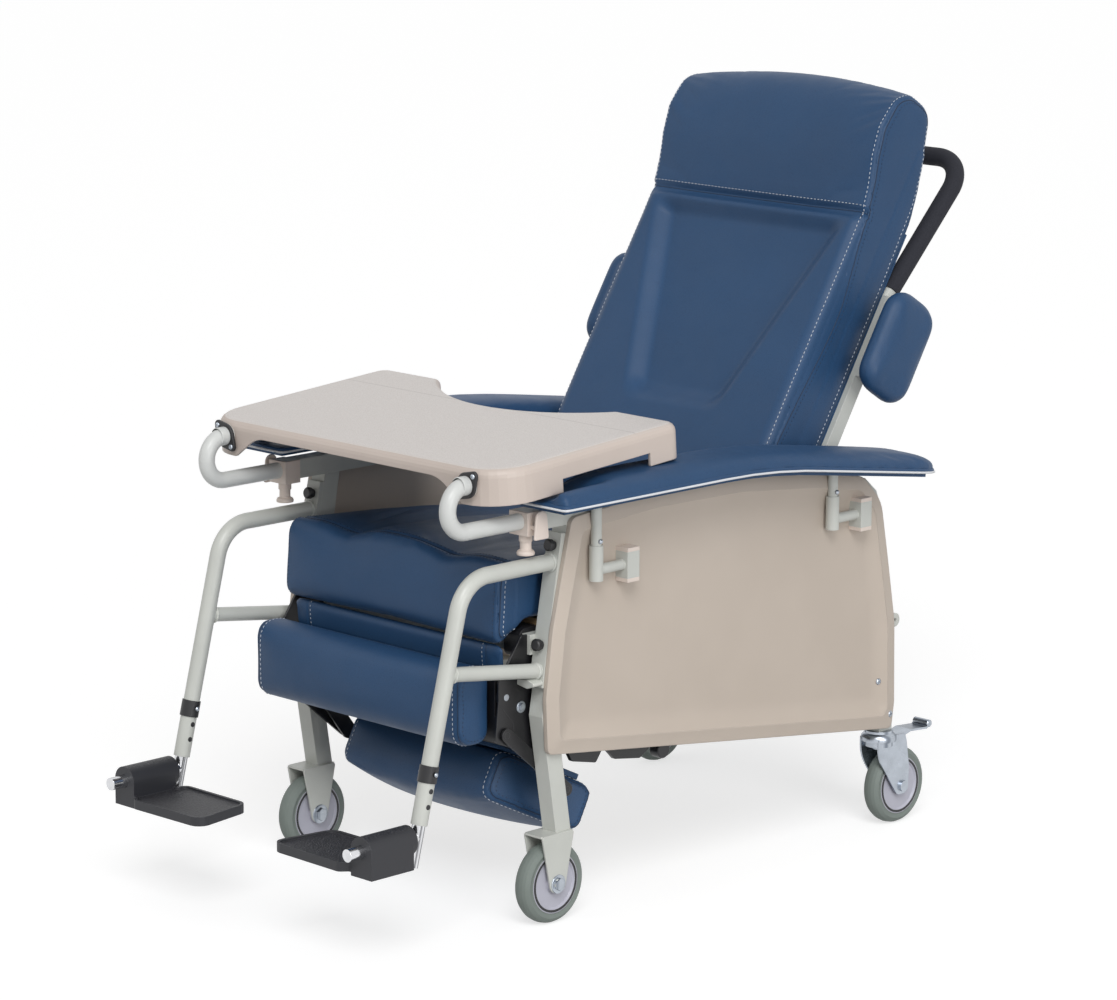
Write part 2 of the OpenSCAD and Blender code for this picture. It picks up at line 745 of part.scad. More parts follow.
// Mechanism plates: black side plates below the seat that carry the leg rest pivots
module mechanism_plate_outline() {
    polygon([
        leg_pivot + [-16, -4], leg_pivot + [-6, -18], leg_pivot + [14, -42],
        leg_pivot + [16, -84], leg_pivot + [80, -112], leg_pivot + [80, 56],
        leg_pivot + [70, 88], leg_pivot + [30, 88], leg_pivot + [-16, 24]
    ]);
}
module mechanism_plates() {
    color(black) both() difference() {
        across(mech_x, mech_x + link_t) mechanism_plate_outline();
        translate([mech_x - 1, cross_front_y - cross_d / 2, cross_front_z - cross_d / 2])
            cube([link_t + 2, cross_d, cross_d]);
        side_plane(mech_x - 1) translate([leg_pivot[0], leg_pivot[1], 0])
            cylinder(h = link_t + 2, d = pin_d + 2 * run_gap);
    }
}

// Pivot pins: plain pins in the mechanism plates for the swing arms, headed ones in the posts for the back
module leg_pivot_pins() {
    color(zinc) both() side_plane(swing_x) translate([leg_pivot[0], leg_pivot[1], 0]) {
        cylinder(h = mech_x + link_t - swing_x, d = pin_d);
    }
}

bar_x = handle_w / 2;
module back_hinge_pins() {
    color(zinc) both() side_plane(bar_x - bar_d / 2 - 4) translate([hinge[0], hinge[1], 0]) {
        cylinder(h = tube_in_x + tube_w / 2 - 2 - bar_x + bar_d / 2 + 4, d = hinge_pin_d);
        translate([0, 0, bar_d + 4 + lie_gap])
            cylinder(h = tube_in_x - bar_x - bar_d / 2 - 2 * lie_gap, d = hinge_pin_d + 8);
        cylinder(h = 4 - lie_gap, d = hinge_pin_d + 6);
    }
}

module pivot_pins() {
    leg_pivot_pins();
    back_hinge_pins();
}

// Back cushion: hollowed middle between raised edges, and a headrest that leans forward
function back_form(x, p) =
    let (u = x / half_seat, s = p[1] - back_foot_s)
    let (front = 1 - p[0] / back_t)
    let (h = smooth01((s - headrest_s + 5) / 190))
    let (bulge = s > headrest_s ? 10 * sin(180 * min(1, (s - headrest_s) / 200)) : 0)
    let (roll = 24 * pow(max(0, (s - headrest_s - 80) / 112), 2))
    let (span = smooth01((s - 60) / 90) * smooth01((headrest_s + 5 - s) / 60))
    let (hollow = hollow_h * exp(-pow(x / (112 + 75 * s / headrest_s), 6)) * span)
    let (crown = 9 * (1 - pow(u, 6)) * sin(180 * min(1, max(0, s / headrest_s))))
    let (arch = 23 * (1 - u * u) * smooth01((s - headrest_s - 60) / 140))
    let (pull = 1 - 0.014 * sin(180 * min(1, max(0, s / back_l))))
    [x * pull, p[0] - 46 * h + front * (hollow - crown - bulge + roll), p[1] + arch];
module back_cushion() {
    color(vinyl_blue) back_place()
        cushion(half_seat, 0, back_t, back_foot_s, back_foot_s + back_l, 32, 12, 21, 3, 15, 5,
            function (x, p) back_form(x, p));
}

// Back board: plywood behind the cushion, on the bars
back_board_top = headrest_s - 10;
module back_board() {
    color(wood) back_place()
        translate([-half_seat + 12, back_t + lie_gap, 30])
            cube([seat_w - 24, board_t - 2 * lie_gap, back_board_top]);
}

// Back bars: square bars behind the board with an eye at the hinge, and the bars across them
module back_bars() {
    c = back_t + board_t;
    color(frame_grey) back_place() {
        both() difference() {
            union() {
                translate([bar_x - bar_d / 2, c, 0]) cube([bar_d, bar_d, bar_top_s]);
                translate([bar_x - bar_d / 2, bar_c, 0]) rotate([0, 90, 0])
                    cylinder(h = bar_d, d = bar_d);
            }
            translate([bar_x - bar_d, bar_c, 0]) rotate([0, 90, 0])
                cylinder(h = 2 * bar_d, d = hinge_pin_d + 2 * run_gap);
        }
        for (s = [120, bar_top_s - 40])
            translate([-bar_x + bar_d / 2, c, s]) cube([2 * bar_x - bar_d, bar_d, bar_d]);
    }
}

// Frame of the push handle: X across, Y up along its legs
module handle_place() {
    back_place() translate([0, bar_c, bar_top_s]) rotate([back_tilt, 0, 0])
        rotate([90 - handle_tilt, 0, 0]) children();
}
handle_bend_r = 62;
module handle_path(r, start) {
    bent_rod([
        [bar_x, start], [bar_x, handle_l], [-bar_x, handle_l], [-bar_x, start]
    ], r, handle_bend_r);
}

// Push handle: round tube bent to a U on top of the bars
module push_handle() {
    color(frame_grey) difference() {
        handle_place() handle_path(handle_d / 2, -10);
        back_place() both() translate([bar_x - bar_d, back_t, bar_top_s - 100])
            cube([2 * bar_d, 2 * bar_d, 100]);
    }
}

// Handle grip: black foam sleeve over the whole handle
grip_start = 14;
module handle_grip() {
    color(black) handle_place() difference() {
        handle_path(grip_d / 2, grip_start);
        handle_path(handle_d / 2, 0);
    }
}

// Wing pads: soft side pads with rounded corners beside the back
wing_x = half_seat + wing_gap + wing_t / 2;
function wing_form(x, p) =
    let (u = p[0] / (wing_w / 2), v = p[1] / (wing_l / 2))
    let (swell = 1 - 0.35 * max(pow(u, 4), pow(v, 4)))
    [x * swell, p[0], p[1]];
module wing_pad() {
    translate([wing_x, wing_c, wing_s])
        cushion(wing_t / 2, -wing_w / 2, wing_w / 2, -wing_l / 2, wing_l / 2, 42, 22, 8, 3, 5, 6,
            function (x, p) wing_form(x, p));
}
module wing_pads() {
    color(vinyl_blue) back_place() both() wing_pad();
}

// Wing brackets: flat steel from the bars out to the pads
wing_bracket_t = 5;
wing_bracket_in = 1.8;
module wing_brackets() {
    x0 = bar_x + bar_d / 2;
    color(frame_grey) back_place() both() for (s = [-40, 40])
        translate([x0, bar_c - bar_d / 2, wing_s + s - 15])
            cube([wing_x - wing_t / 2 + wing_bracket_in - x0, wing_bracket_t, 30]);
}

// Swing arms: plates that turn on the leg pivots and carry the foot board
module swing_arms() {
    color(black) both() difference() {
        union() {
            across(swing_x, swing_x + link_t) polygon(strip([leg_pivot, link_rear], 26));
            side_plane(swing_x) for (p = [leg_pivot, link_rear])
                translate([p[0], p[1], 0]) cylinder(h = link_t, d = 26);
            side_plane(swing_x) translate([link_rear[0], link_rear[1], 0])
                cylinder(h = link_x + link_t - swing_x, d = pin_d);
        }
        side_plane(swing_x - 1) translate([leg_pivot[0], leg_pivot[1], 0])
            cylinder(h = link_t + 2, d = pin_d + 2 * run_gap);
    }
}

// Foot pad: boat-shaped pad that stows under the seat with its crowned face down
foot_taper = 0.065;
foot_lift = 10;
function foot_form(x, p) =
    let (u = x / (pad_w / 2), s = p[0] / (foot_l / 2))
    let (face = max(0, (foot_back - p[1]) / foot_t))
    let (crown = 8 * (1 - u * u) * (1 - s * s) - foot_lift * pow(abs(u), 3))
    [x * (0.97 - foot_taper + foot_taper * s), p[0], p[1] - face * crown];
foot_back = 26;
module foot_pad() {
    color(vinyl_blue) foot_place()
        cushion(pad_w / 2, -foot_l / 2, foot_l / 2, foot_back - foot_t, foot_back, 22, 9, 16, 6, 3, 4,
            function (x, p) foot_form(x, p));
}

// Foot board: plywood behind the foot pad, between the swing arms
module foot_board() {
    color(wood) foot_place()
        translate([-swing_x, -foot_l / 2 + 14, foot_back + lie_gap])
            cube([2 * swing_x, foot_l - 28, board_t]);
}

// Front links: flat links from the swing arms to the calf board
module front_links() {
    color(black) both() difference() {
        union() {
            across(link_x, link_x + link_t) polygon(strip([link_rear, link_front], 20));
            side_plane(link_x) for (p = [link_rear, link_front])
                translate([p[0], p[1], 0]) cylinder(h = link_t, d = 20);
        }
        side_plane(link_x - 1) for (p = [link_rear, link_front])
            translate([p[0], p[1], 0]) cylinder(h = link_t + 2, d = pin_d + 2 * run_gap);
    }
}

// Calf pad: crowned upright pad under the front of the seat
function calf_form(x, p) =
    let (u = x / (pad_w / 2), s = p[1] / (calf_h / 2))
    let (face = max(0, -p[0] / calf_t + 0.5))
    let (crown = 11 * (1 - u * u) * (1 - s * s))
    [x * (1 - 0.01 * (1 - s * s)), p[0] - face * crown, p[1]];
module calf_pad() {
    color(vinyl_blue) translate([0, calf_c[0], calf_c[1]])
        cushion(pad_w / 2, -calf_t / 2, calf_t / 2, -calf_h / 2, calf_h / 2, 26, 9, 16, 3, 6, 4,
            function (x, p) calf_form(x, p));
}

// Calf board: pressed steel behind the calf pad with a pin plate for the links at each end
calf_board_x = swing_x - 1;
module calf_board() {
    y0 = calf_c[1] - calf_h / 2;
    back = calf_c[0] + calf_t / 2 + lie_gap;
    color(black) translate([-calf_board_x, back, y0 + 4]) cube([2 * calf_board_x, board_t, calf_h - 20]);
    color(black) both() {
        across(calf_board_x, swing_x + link_t)
            polygon([
                [back, y0 + 4], link_front + [4, -11], link_front + [11, 0],
                link_front + [4, 11], [back + board_t, y0 + 44], [back, y0 + 44]
            ]);
        side_plane(swing_x) translate([link_front[0], link_front[1], 0])
            cylinder(h = link_x + link_t - swing_x, d = pin_d);
    }
}

// Frame of the tray: Y = 0 at its rear edge, Z = 0 on its top
module tray_place() {
    translate([0, tray_rear_y, tray_z]) rotate([tray_tilt, 0, 0]) children();
}
belly_r = (belly_x * belly_x + belly_l * belly_l) / (2 * belly_l);
belly_a = asin(belly_x / belly_r);
belly_steps = 14;
tray_outline = rounded(
    concat(
        [[-tray_w / 2, -tray_l], [tray_w / 2, -tray_l], [tray_w / 2, 0], [belly_x + 5, 0]],
        [for (k = [1 : belly_steps - 1])
            let (a = belly_a * (1 - 2 * k / belly_steps))
            [belly_r * sin(a), belly_r - belly_l - belly_r * cos(a)]],
        [[-belly_x - 5, 0], [-tray_w / 2, 0]]
    ),
    concat([70, 70, 22, 16], [for (k = [1 : belly_steps - 1]) 0], [16, 22]), 6);
tray_edge_r = 13;
tray_block = rounded([
    [-tray_w / 2, -tray_l], [tray_w / 2, -tray_l], [tray_w / 2, 0], [-tray_w / 2, 0]
], [70, 70, 22, 22], 8);

// Tray: moulded shell with rounded edge, apron, side notches over the armrests and front arch
notch_y0 = -250;
notch_y1 = -68;
notch_h = 20;
tray_hole_gap = 0.5;
arch_x = 200;
arch_flare = 50;
arch_h = 34;
edge_steps = 4;
module tray() {
    levels = concat(
        [[0, -apron_h]],
        [for (k = [0 : edge_steps])
            let (a = 90 * k / edge_steps)
            [tray_edge_r * (1 - cos(a)), tray_edge_r * (sin(a) - 1)]]
    );
    color(beige) difference() {
        tray_place() difference() {
            skin([for (l = levels) [for (p = inset(tray_block, l[0])) [p[0], p[1], l[1]]]]);
            translate([0, belly_r - belly_l, 0]) belly_cutter();
            translate([0, 0, -apron_h - tray_t])
                linear_extrude(apron_h) polygon(inset(tray_outline, tray_t));
            translate([-tray_w, notch_y0, -apron_h - 1])
                cube([2 * tray_w, notch_y1 - notch_y0, notch_h + 1]);
            translate([0, -tray_l - 1, -apron_h]) rotate([-90, 0, 0]) linear_extrude(3 * tray_t)
                polygon(rounded([
                    [-arch_x - arch_flare, 1], [arch_x + arch_flare, 1],
                    [arch_x, -arch_h], [-arch_x, -arch_h]
                ], [0, 0, 60, 60], 6));
        }
        both() translate([frame_x, tray_rear_y - 2 * tray_l, tray_tube_z]) rotate([-90, 0, 0])
            cylinder(h = 2 * tray_l - 100, d = tray_tube_d + 2 * tray_hole_gap);
    }
}

// Round cutter for the body cut-out, flared at the top for the rounded edge
module belly_cutter() {
    rotate_extrude($fn = 96) polygon(concat(
        [[0, -2 * apron_h], [belly_r, -2 * apron_h]],
        [for (k = [0 : 6])
            let (a = 90 * k / 6)
            [belly_r + tray_edge_r * (1 - cos(a)), tray_edge_r * (sin(a) - 1)]],
        [[belly_r + tray_edge_r, tray_edge_r], [0, tray_edge_r]]
    ));
}

// Tray tubes: U-bent tubes from the tray's front apron back into the top rails, with a flange
tray_front_y = tray_rear_y - tray_l * cos(tray_tilt);
tray_flange_t = 4;
flange_y = tray_front_y + tray_edge_r * sin(tray_tilt) - lie_gap;
module tray_tubes() {
    bend_y = tray_front_y - 6 - tray_bend_r;
    color(frame_grey) both() side_plane(frame_x) {
        bent_rod([
            [tray_front_y + 40, tray_tube_z], [bend_y, tray_tube_z],
            [bend_y, rail_z], [rail_front_y + tray_tube_in, rail_z]
        ], tray_tube_d / 2, (tray_tube_z - rail_z) / 2 - 0.01);
        rod([flange_y - tray_flange_t, tray_tube_z], [flange_y, tray_tube_z], tray_tube_d / 2 + 6);
    }
}

// Tray clamps: moulded blocks over the rail ends, with a lug for the clamping knob
clamp_wall = 5;
clamp_l = 30;
clamp_front = 6;
knob_stem_d = 9;
clamp_y = rail_front_y + clamp_l / 2 - clamp_front;
clamp_low_z = rail_z - tube_d / 2 - 16;
module tray_clamps() {
    w = tube_w + 2 * clamp_wall;
    color(pale_beige) both() difference() {
        union() {
            translate([frame_x - w / 2, rail_front_y - clamp_front, rail_z - tube_d / 2 - clamp_wall])
                cube([w, clamp_l, tube_d + clamp_wall]);
            translate([frame_x, clamp_y, clamp_low_z])
                cylinder(h = rail_z - tube_d / 2 - clamp_low_z - 1, d = 20);
            translate([frame_x + w / 2 - 1, clamp_y - 8, rail_z - 10]) cube([12, 16, 6]);
        }
        top_rail_body();
        translate([frame_x, rail_front_y - 2 * clamp_l, rail_z]) rotate([-90, 0, 0])
            cylinder(h = 4 * clamp_l, d = tray_tube_d + 2 * run_gap);
        translate([frame_x, clamp_y, clamp_low_z - 1])
            cylinder(h = rail_z - tube_d / 2 - clamp_low_z + 1, d = knob_stem_d + 2 * run_gap);
    }
}

// Clamp knobs: hand screws under the clamps, with a waisted head
module clamp_knob() {
    top = rail_z - tube_d / 2 - lie_gap - clamp_low_z;
    translate([frame_x, clamp_y, clamp_low_z]) rotate_extrude() polygon([
        [0, -20], [13, -20], [13.5, -17], [12, -14], [8.5, -12], [8.5, -lie_gap],
        [knob_stem_d / 2, -lie_gap], [knob_stem_d / 2, top], [0, top]
    ]);
}
module clamp_knob_left() {
    color(pale_beige) clamp_knob();
}
module clamp_knob_right() {
    color(pale_beige) mirror([1, 0, 0]) clamp_knob();
}

// Footrest hangers: plate on the leg, upper and cross tube, and a slanted drop tube
hang_plate_t = 8;
hang_plate = [42, 272];
knob_d = 8;
knob_in = 14;
knob_places = [104, 252];
hang_cross_fall = 26;
hang_step = 1.5;
hang_bend_r = 60;
function hang_at(z) = hang_bend + hang_dir * (hang_z - z) / cos(hang_slant);
function leg_face(t, out) = leg_knee + leg_dir * t + leg_nrm * (tube_d / 2 + out);
function leg_face_at(z, out) =
    leg_face((z - leg_knee[1] - leg_nrm[1] * (tube_d / 2 + out)) / leg_dir[1], out);

// Axis of one hanger knob, on the face of the front leg, pointing away from the chair
module knob_axis(t) {
    p = leg_face(t, 0);
    translate([frame_x, p[0], p[1]]) rotate([atan2(leg_dir[0], leg_dir[1]) * -1, 0, 0])
        rotate([90, 0, 0]) children();
}
hang_bore_z = 340;
module footrest_hanger() {
    mid = hang_plate_t / 2;
    difference() {
        union() {
            across(tube_in_x, tube_out_x)
                polygon(strip([leg_face(hang_plate[0], mid), leg_face(hang_plate[1], mid)], hang_plate_t));
            side_plane(frame_x) bent_rod(
                [leg_face_at(hang_z, mid), hang_bend, hang_at(hang_end_z)], hang_d / 2, hang_bend_r);
            side_plane(frame_x) rod(leg_face_at(hang_cross_z - hang_cross_fall, mid), hang_at(hang_cross_z),
                hang_d / 2 - hang_step);
        }
        side_plane(frame_x) rod(hang_at(hang_end_z - 20), hang_at(hang_bore_z), slide_d / 2 + run_gap);
        for (t = knob_places) knob_axis(t)
            cylinder(h = 6 * hang_plate_t, d = knob_d + 2 * run_gap, center = true);
    }
}
module footrest_hangers() {
    color(frame_grey) both() footrest_hanger();
}

// Hanger knobs: black hand screws that hold the hangers on the legs
module hanger_knobs() {
    color(black) both() for (t = knob_places) knob_axis(t) translate([0, 0, hang_plate_t])
        rotate_extrude() polygon([
            [0, -hang_plate_t - knob_in + 2], [knob_d / 2, -hang_plate_t - knob_in + 2], [knob_d / 2, 0],
            [7, 0], [7, 4], [9, 5], [9, 11], [7, 13], [0, 13]
        ]);
}

// Hanger collars: black rings at the lower ends of the drop tubes
collar_z = 274;
collar_wall = 1.8;
module hanger_collars() {
    color(black) both() side_plane(frame_x) difference() {
        rod(hang_at(collar_z + 12), hang_at(collar_z - 12), hang_d / 2 + collar_wall);
        rod(hang_at(collar_z + 30), hang_at(collar_z - 30), hang_d / 2);
    }
}

// Footrest sliders: plated tubes in the drop tubes with the footplate pivot at the lower end
plate_pivot_d = 19;
slider_top_z = 330;
slider_end_z = 142;
module footrest_slider() {
    side_plane(frame_x) {
        rod(hang_at(slider_top_z), hang_at(slider_end_z), slide_d / 2);
        rod([plate_front_y, plate_pivot_z], [hang_at(plate_pivot_z)[0], plate_pivot_z], plate_pivot_d / 2);
    }
}
module footrest_slider_left() {
    color(zinc) footrest_slider();
}
module footrest_slider_right() {
    color(zinc) mirror([1, 0, 0]) footrest_slider();
}

// Footplates: ribbed black plates with a barrel that folds up round the pivot
barrel_d = 44;
barrel_y = [plate_front_y + 27, plate_front_y + 117];
plate_top_z = plate_pivot_z - 23;
block_h = 16;
module footplate_outline(edge) {
    x1 = frame_x + barrel_d / 2;
    x0 = frame_x - barrel_d / 2;
    xi = frame_x - plate_w - 8;
    polygon(inset(rounded([
        [xi - 6, barrel_y[0] - 9], [x0 - 14, barrel_y[0] - 12], [x0 - 4, barrel_y[0]], [x1, barrel_y[0]],
        [x1, barrel_y[1] - 8], [x0 - 4, barrel_y[1] - 8], [x0 - 4, barrel_y[1] + 9], [xi + 12, barrel_y[1] + 9]
    ], [18, 9, 3, 6, 6, 3, 12, 18], 4), edge));
}
module footplate() {
    difference() {
        union() {
            translate([0, 0, plate_top_z - plate_t]) linear_extrude(plate_t) footplate_outline(0);
            difference() {
                translate([0, 0, plate_top_z - 1]) linear_extrude(4) footplate_outline(0);
                translate([0, 0, plate_top_z - 1]) linear_extrude(6) footplate_outline(5);
            }
            translate([frame_x, barrel_y[0], plate_pivot_z]) rotate([-90, 0, 0])
                cylinder(h = barrel_y[1] - barrel_y[0], d = barrel_d);
            translate([frame_x - barrel_d / 2, barrel_y[0], plate_top_z - block_h])
                cube([barrel_d, barrel_y[1] - barrel_y[0] - 8, plate_pivot_z - plate_top_z + block_h]);
        }
        translate([frame_x, barrel_y[0] - 20, plate_pivot_z]) rotate([-90, 0, 0])
            cylinder(h = 2 * barrel_d + 60, d = plate_pivot_d + 2 * run_gap);
        for (k = [0 : 3])
            translate([frame_x - plate_w + 14 + 34 * k, barrel_y[0] + 14, plate_top_z - plate_t - 1])
                cube([24, barrel_y[1] - barrel_y[0] - 28, plate_t - 4]);
    }
}
module footplate_left() {
    color(black) footplate();
}
module footplate_right() {
    color(black) mirror([1, 0, 0]) footplate();
}

// Front forks: bent plate forks under the legs, each with its axle bolt
fork_in = tyre_w / 2 + 2;
module front_forks() {
    axle = [front_axle_y, wheel_d / 2];
    side = rounded([
        axle + [-14, -13], axle + [14, -13], [front_axle_y + 33, fork_top_z],
        [front_axle_y - 33, fork_top_z]
    ], [12, 12, 4, 4], 5);
    color(frame_grey) both() {
        difference() {
            union() {
                for (x = [frame_x - fork_in - fork_t, frame_x + fork_in]) across(x, x + fork_t) polygon(side);
                translate([frame_x - fork_in, front_axle_y - 33, fork_top_z - fork_t])
                    cube([2 * fork_in, 66, fork_t]);
            }
            translate([frame_x - 2 * fork_in, axle[0], axle[1]]) rotate([0, 90, 0])
                cylinder(h = 4 * fork_in, d = axle_d);
        }
        axle_bolt(axle[0], fork_in + fork_t);
    }
}

// Axle bolt through a fork whose outer faces lie half apart from the wheel's middle plane
module axle_bolt(y, half) {
    translate([frame_x - half, y, wheel_d / 2]) rotate([0, 90, 0]) {
        cylinder(h = 2 * half, d = axle_d);
        translate([0, 0, 2 * half]) cylinder(h = 4, d = axle_d + 6);
        translate([0, 0, -5]) cylinder(h = 5, d = axle_d + 7, $fn = 6);
    }
}

// Wheels: grey tyre with a rounded tread on a hub disc with a stepped rim
module wheel_place(y) {
    translate([frame_x, y, wheel_d / 2]) rotate([0, 90, 0]) children();
}
module tyre(y) {
    r = wheel_d / 2;
    h = tyre_w / 2;
    hr = hub_d / 2;
    wheel_place(y) rotate_extrude($fn = 96) polygon(concat(
        [[hr, -h + 1], [hr + 1, -h + 2], [r - 9, -h]],
        [for (a = [-75 : 25 : 75]) [r - 9 + 9 * cos(a), (h - 1) * sin(a)]],
        [[r - 9, h], [hr + 1, h - 2], [hr, h - 1]]
    ));
}
module hub(y) {
    h = tyre_w / 2;
    hr = hub_d / 2;
    bore = axle_d / 2 + run_gap;
    wheel_place(y) rotate_extrude($fn = 96) polygon([
        [bore, -h], [bore + 8, -h], [bore + 9, -h + 4], [hr - 8, -h + 4], [hr - 6, -h + 1], [hr, -h + 1],
        [hr, h - 1], [hr - 6, h - 1], [hr - 8, h - 4], [bore + 9, h - 4], [bore + 8, h], [bore, h]
    ]);
}
module front_tyre_left() {
    color(tyre_grey) tyre(front_axle_y);
}
module front_tyre_right() {
    color(tyre_grey) mirror([1, 0, 0]) tyre(front_axle_y);
}
module front_hub_left() {
    color(hub_lilac) hub(front_axle_y);
}
module front_hub_right() {
    color(hub_lilac) mirror([1, 0, 0]) hub(front_axle_y);
}

// Caster stems: plated race and pin under each rear upright
stem_in = 34;
race_t = 5;
head_z = [wheel_d + 9, caster_top_z - race_t];
module caster_stems() {
    color(zinc) both() translate([frame_x, upright_y, 0]) {
        translate([0, 0, head_z[0] - 4]) cylinder(h = caster_top_z + stem_in - 2 - head_z[0] + 4, d = axle_d);
        translate([0, 0, caster_top_z - race_t + lie_gap]) cylinder(h = race_t - lie_gap, d = 46);
        translate([0, 0, head_z[0] - 6]) cylinder(h = 6 - lie_gap, d = axle_d + 8);
    }
}

// Caster forks: swivel head with two curved arms and the axle bolt, trailing to the rear
rear_axle_y = upright_y + trail;
pedal_pivot = [upright_y + 34, head_z[0] + 6];
module caster_fork() {
    axle = [rear_axle_y, wheel_d / 2];
    side = rounded([
        axle + [-13, -13], axle + [13, -13], axle + [15, 30], pedal_pivot + [12, -4],
        pedal_pivot + [8, 9], [upright_y - 4, head_z[1] - 4], [upright_y - 23, head_z[1] - 4],
        [upright_y - 23, head_z[0] - 16]
    ], [12, 12, 40, 5, 5, 4, 6, 60], 5);
    difference() {
        union() {
            for (x = [frame_x - fork_in - fork_t, frame_x + fork_in]) across(x, x + fork_t) polygon(side);
            translate([frame_x, upright_y, head_z[0]]) rotate_extrude() polygon([
                [axle_d / 2 + run_gap, 0], [23, 0], [23, head_z[1] - head_z[0] - 6],
                [18, head_z[1] - head_z[0]], [axle_d / 2 + run_gap, head_z[1] - head_z[0]]
            ]);
        }
        translate([frame_x - 2 * fork_in, axle[0], axle[1]]) rotate([0, 90, 0])
            cylinder(h = 4 * fork_in, d = axle_d);
        translate([frame_x, upright_y, 0]) cylinder(h = caster_top_z, d = axle_d + 2 * run_gap);
    }
    axle_bolt(rear_axle_y, fork_in + fork_t);
    side_plane(frame_x - fork_in) translate([pedal_pivot[0], pedal_pivot[1], 0])
        cylinder(h = 2 * fork_in, d = pedal_pin_d);
}
pedal_pin_d = 6;
module caster_fork_left() {
    color(zinc) caster_fork();
}
module caster_fork_right() {
    color(zinc) mirror([1, 0, 0]) caster_fork();
}
module rear_tyre_left() {
    color(tyre_grey) tyre(rear_axle_y);
}
module rear_tyre_right() {
    color(tyre_grey) mirror([1, 0, 0]) tyre(rear_axle_y);
}
module rear_hub_left() {
    color(hub_lilac) hub(rear_axle_y);
}
module rear_hub_right() {
    color(hub_lilac) mirror([1, 0, 0]) hub(rear_axle_y);
}

// Brake pedals: bent plate levers on the caster forks with a cam over the tyre
pedal_l = 76;
module brake_pedal() {
    p = pedal_pivot;
    x0 = frame_x - fork_in + 1;
    x1 = frame_x + fork_in - 1;
    difference() {
        union() {
            side_plane(x0) translate([p[0], p[1], 0]) cylinder(h = x1 - x0, d = pedal_pin_d + 6);
            across(x0, x1) polygon(strip([
                p + [3, 4], p + [26, 10], p + [pedal_l - 10, 7], p + [pedal_l, 14]
            ], 3.5));
        }
        side_plane(x0 - 1) translate([p[0], p[1], 0])
            cylinder(h = x1 - x0 + 2, d = pedal_pin_d + 2 * run_gap);
    }
}
module brake_pedal_left() {
    color(zinc) brake_pedal();
}
module brake_pedal_right() {
    color(zinc) mirror([1, 0, 0]) brake_pedal();
}

front_legs();
top_rails();
lower_rails();
rear_uprights();
middle_posts();
cross_tubes();
cross_tube_caps();
side_panels();
armrest_brackets();
bracket_caps();
armrest_posts();
armrest_boards();
armrest_pads();
armrest_buttons_left();
armrest_buttons_right();
seat_cushion();
seat_board();
seat_rails();
front_apron();
mechanism_plates();
pivot_pins();
back_cushion();
back_board();
back_bars();
push_handle();
handle_grip();
wing_pads();
wing_brackets();
swing_arms();
foot_pad();
foot_board();
front_links();
calf_pad();
calf_board();
tray();
tray_tubes();
tray_clamps();
clamp_knob_left();
clamp_knob_right();
footrest_hangers();
hanger_knobs();
hanger_collars();
footrest_slider_left();
footrest_slider_right();
footplate_left();
footplate_right();
front_forks();
front_tyre_left();
front_hub_left();
front_tyre_right();
front_hub_right();
caster_stems();
caster_fork_left();
caster_fork_right();
rear_tyre_left();
rear_hub_left();
rear_tyre_right();
rear_hub_right();
brake_pedal_left();
brake_pedal_right();
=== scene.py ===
import math

import bmesh
import bpy
from mathutils import Matrix, Vector
from mathutils.bvhtree import BVHTree
from mathutils.geometry import intersect_point_line


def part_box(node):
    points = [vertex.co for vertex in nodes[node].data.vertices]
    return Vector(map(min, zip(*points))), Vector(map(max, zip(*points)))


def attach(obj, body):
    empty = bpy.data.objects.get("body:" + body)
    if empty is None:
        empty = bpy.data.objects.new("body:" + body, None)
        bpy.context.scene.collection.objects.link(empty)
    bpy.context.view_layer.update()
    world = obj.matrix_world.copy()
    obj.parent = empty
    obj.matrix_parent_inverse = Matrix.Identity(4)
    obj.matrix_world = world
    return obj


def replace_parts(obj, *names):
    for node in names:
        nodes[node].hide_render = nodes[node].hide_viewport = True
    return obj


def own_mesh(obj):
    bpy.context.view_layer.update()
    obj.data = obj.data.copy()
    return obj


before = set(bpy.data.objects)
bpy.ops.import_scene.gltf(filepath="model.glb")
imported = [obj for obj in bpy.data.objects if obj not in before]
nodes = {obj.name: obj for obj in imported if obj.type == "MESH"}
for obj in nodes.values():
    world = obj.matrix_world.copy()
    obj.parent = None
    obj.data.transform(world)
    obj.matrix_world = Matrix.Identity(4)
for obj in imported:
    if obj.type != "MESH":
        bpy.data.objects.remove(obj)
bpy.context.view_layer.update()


# Side frames
# Rectangular and round steel tube, bent, welded and powder coated in a warm light grey.
# The coat has a faint orange peel and turns a little paler where it thins over an arris.

def screen(r, g, b):
    """Linear shader colour of a colour read from a screen, 0 to 255."""
    parts = [v / 255 for v in (r, g, b)]
    return tuple(v / 12.92 if v < 0.04045 else ((v + 0.055) / 1.055) ** 2.4 for v in parts) + (1.0,)


def begin_material(name, roughness, metallic=0.0, specular=0.5):
    """A new material with its shader and the Object coordinates of the piece that wears it."""
    material = bpy.data.materials.new(name)
    material.use_nodes = True
    tree = material.node_tree
    shader = tree.nodes["Principled BSDF"]
    shader.inputs["Roughness"].default_value = roughness
    shader.inputs["Metallic"].default_value = metallic
    shader.inputs["Specular IOR Level"].default_value = specular
    place = tree.nodes.new("ShaderNodeTexCoord").outputs["Object"]
    return material, tree, shader, place


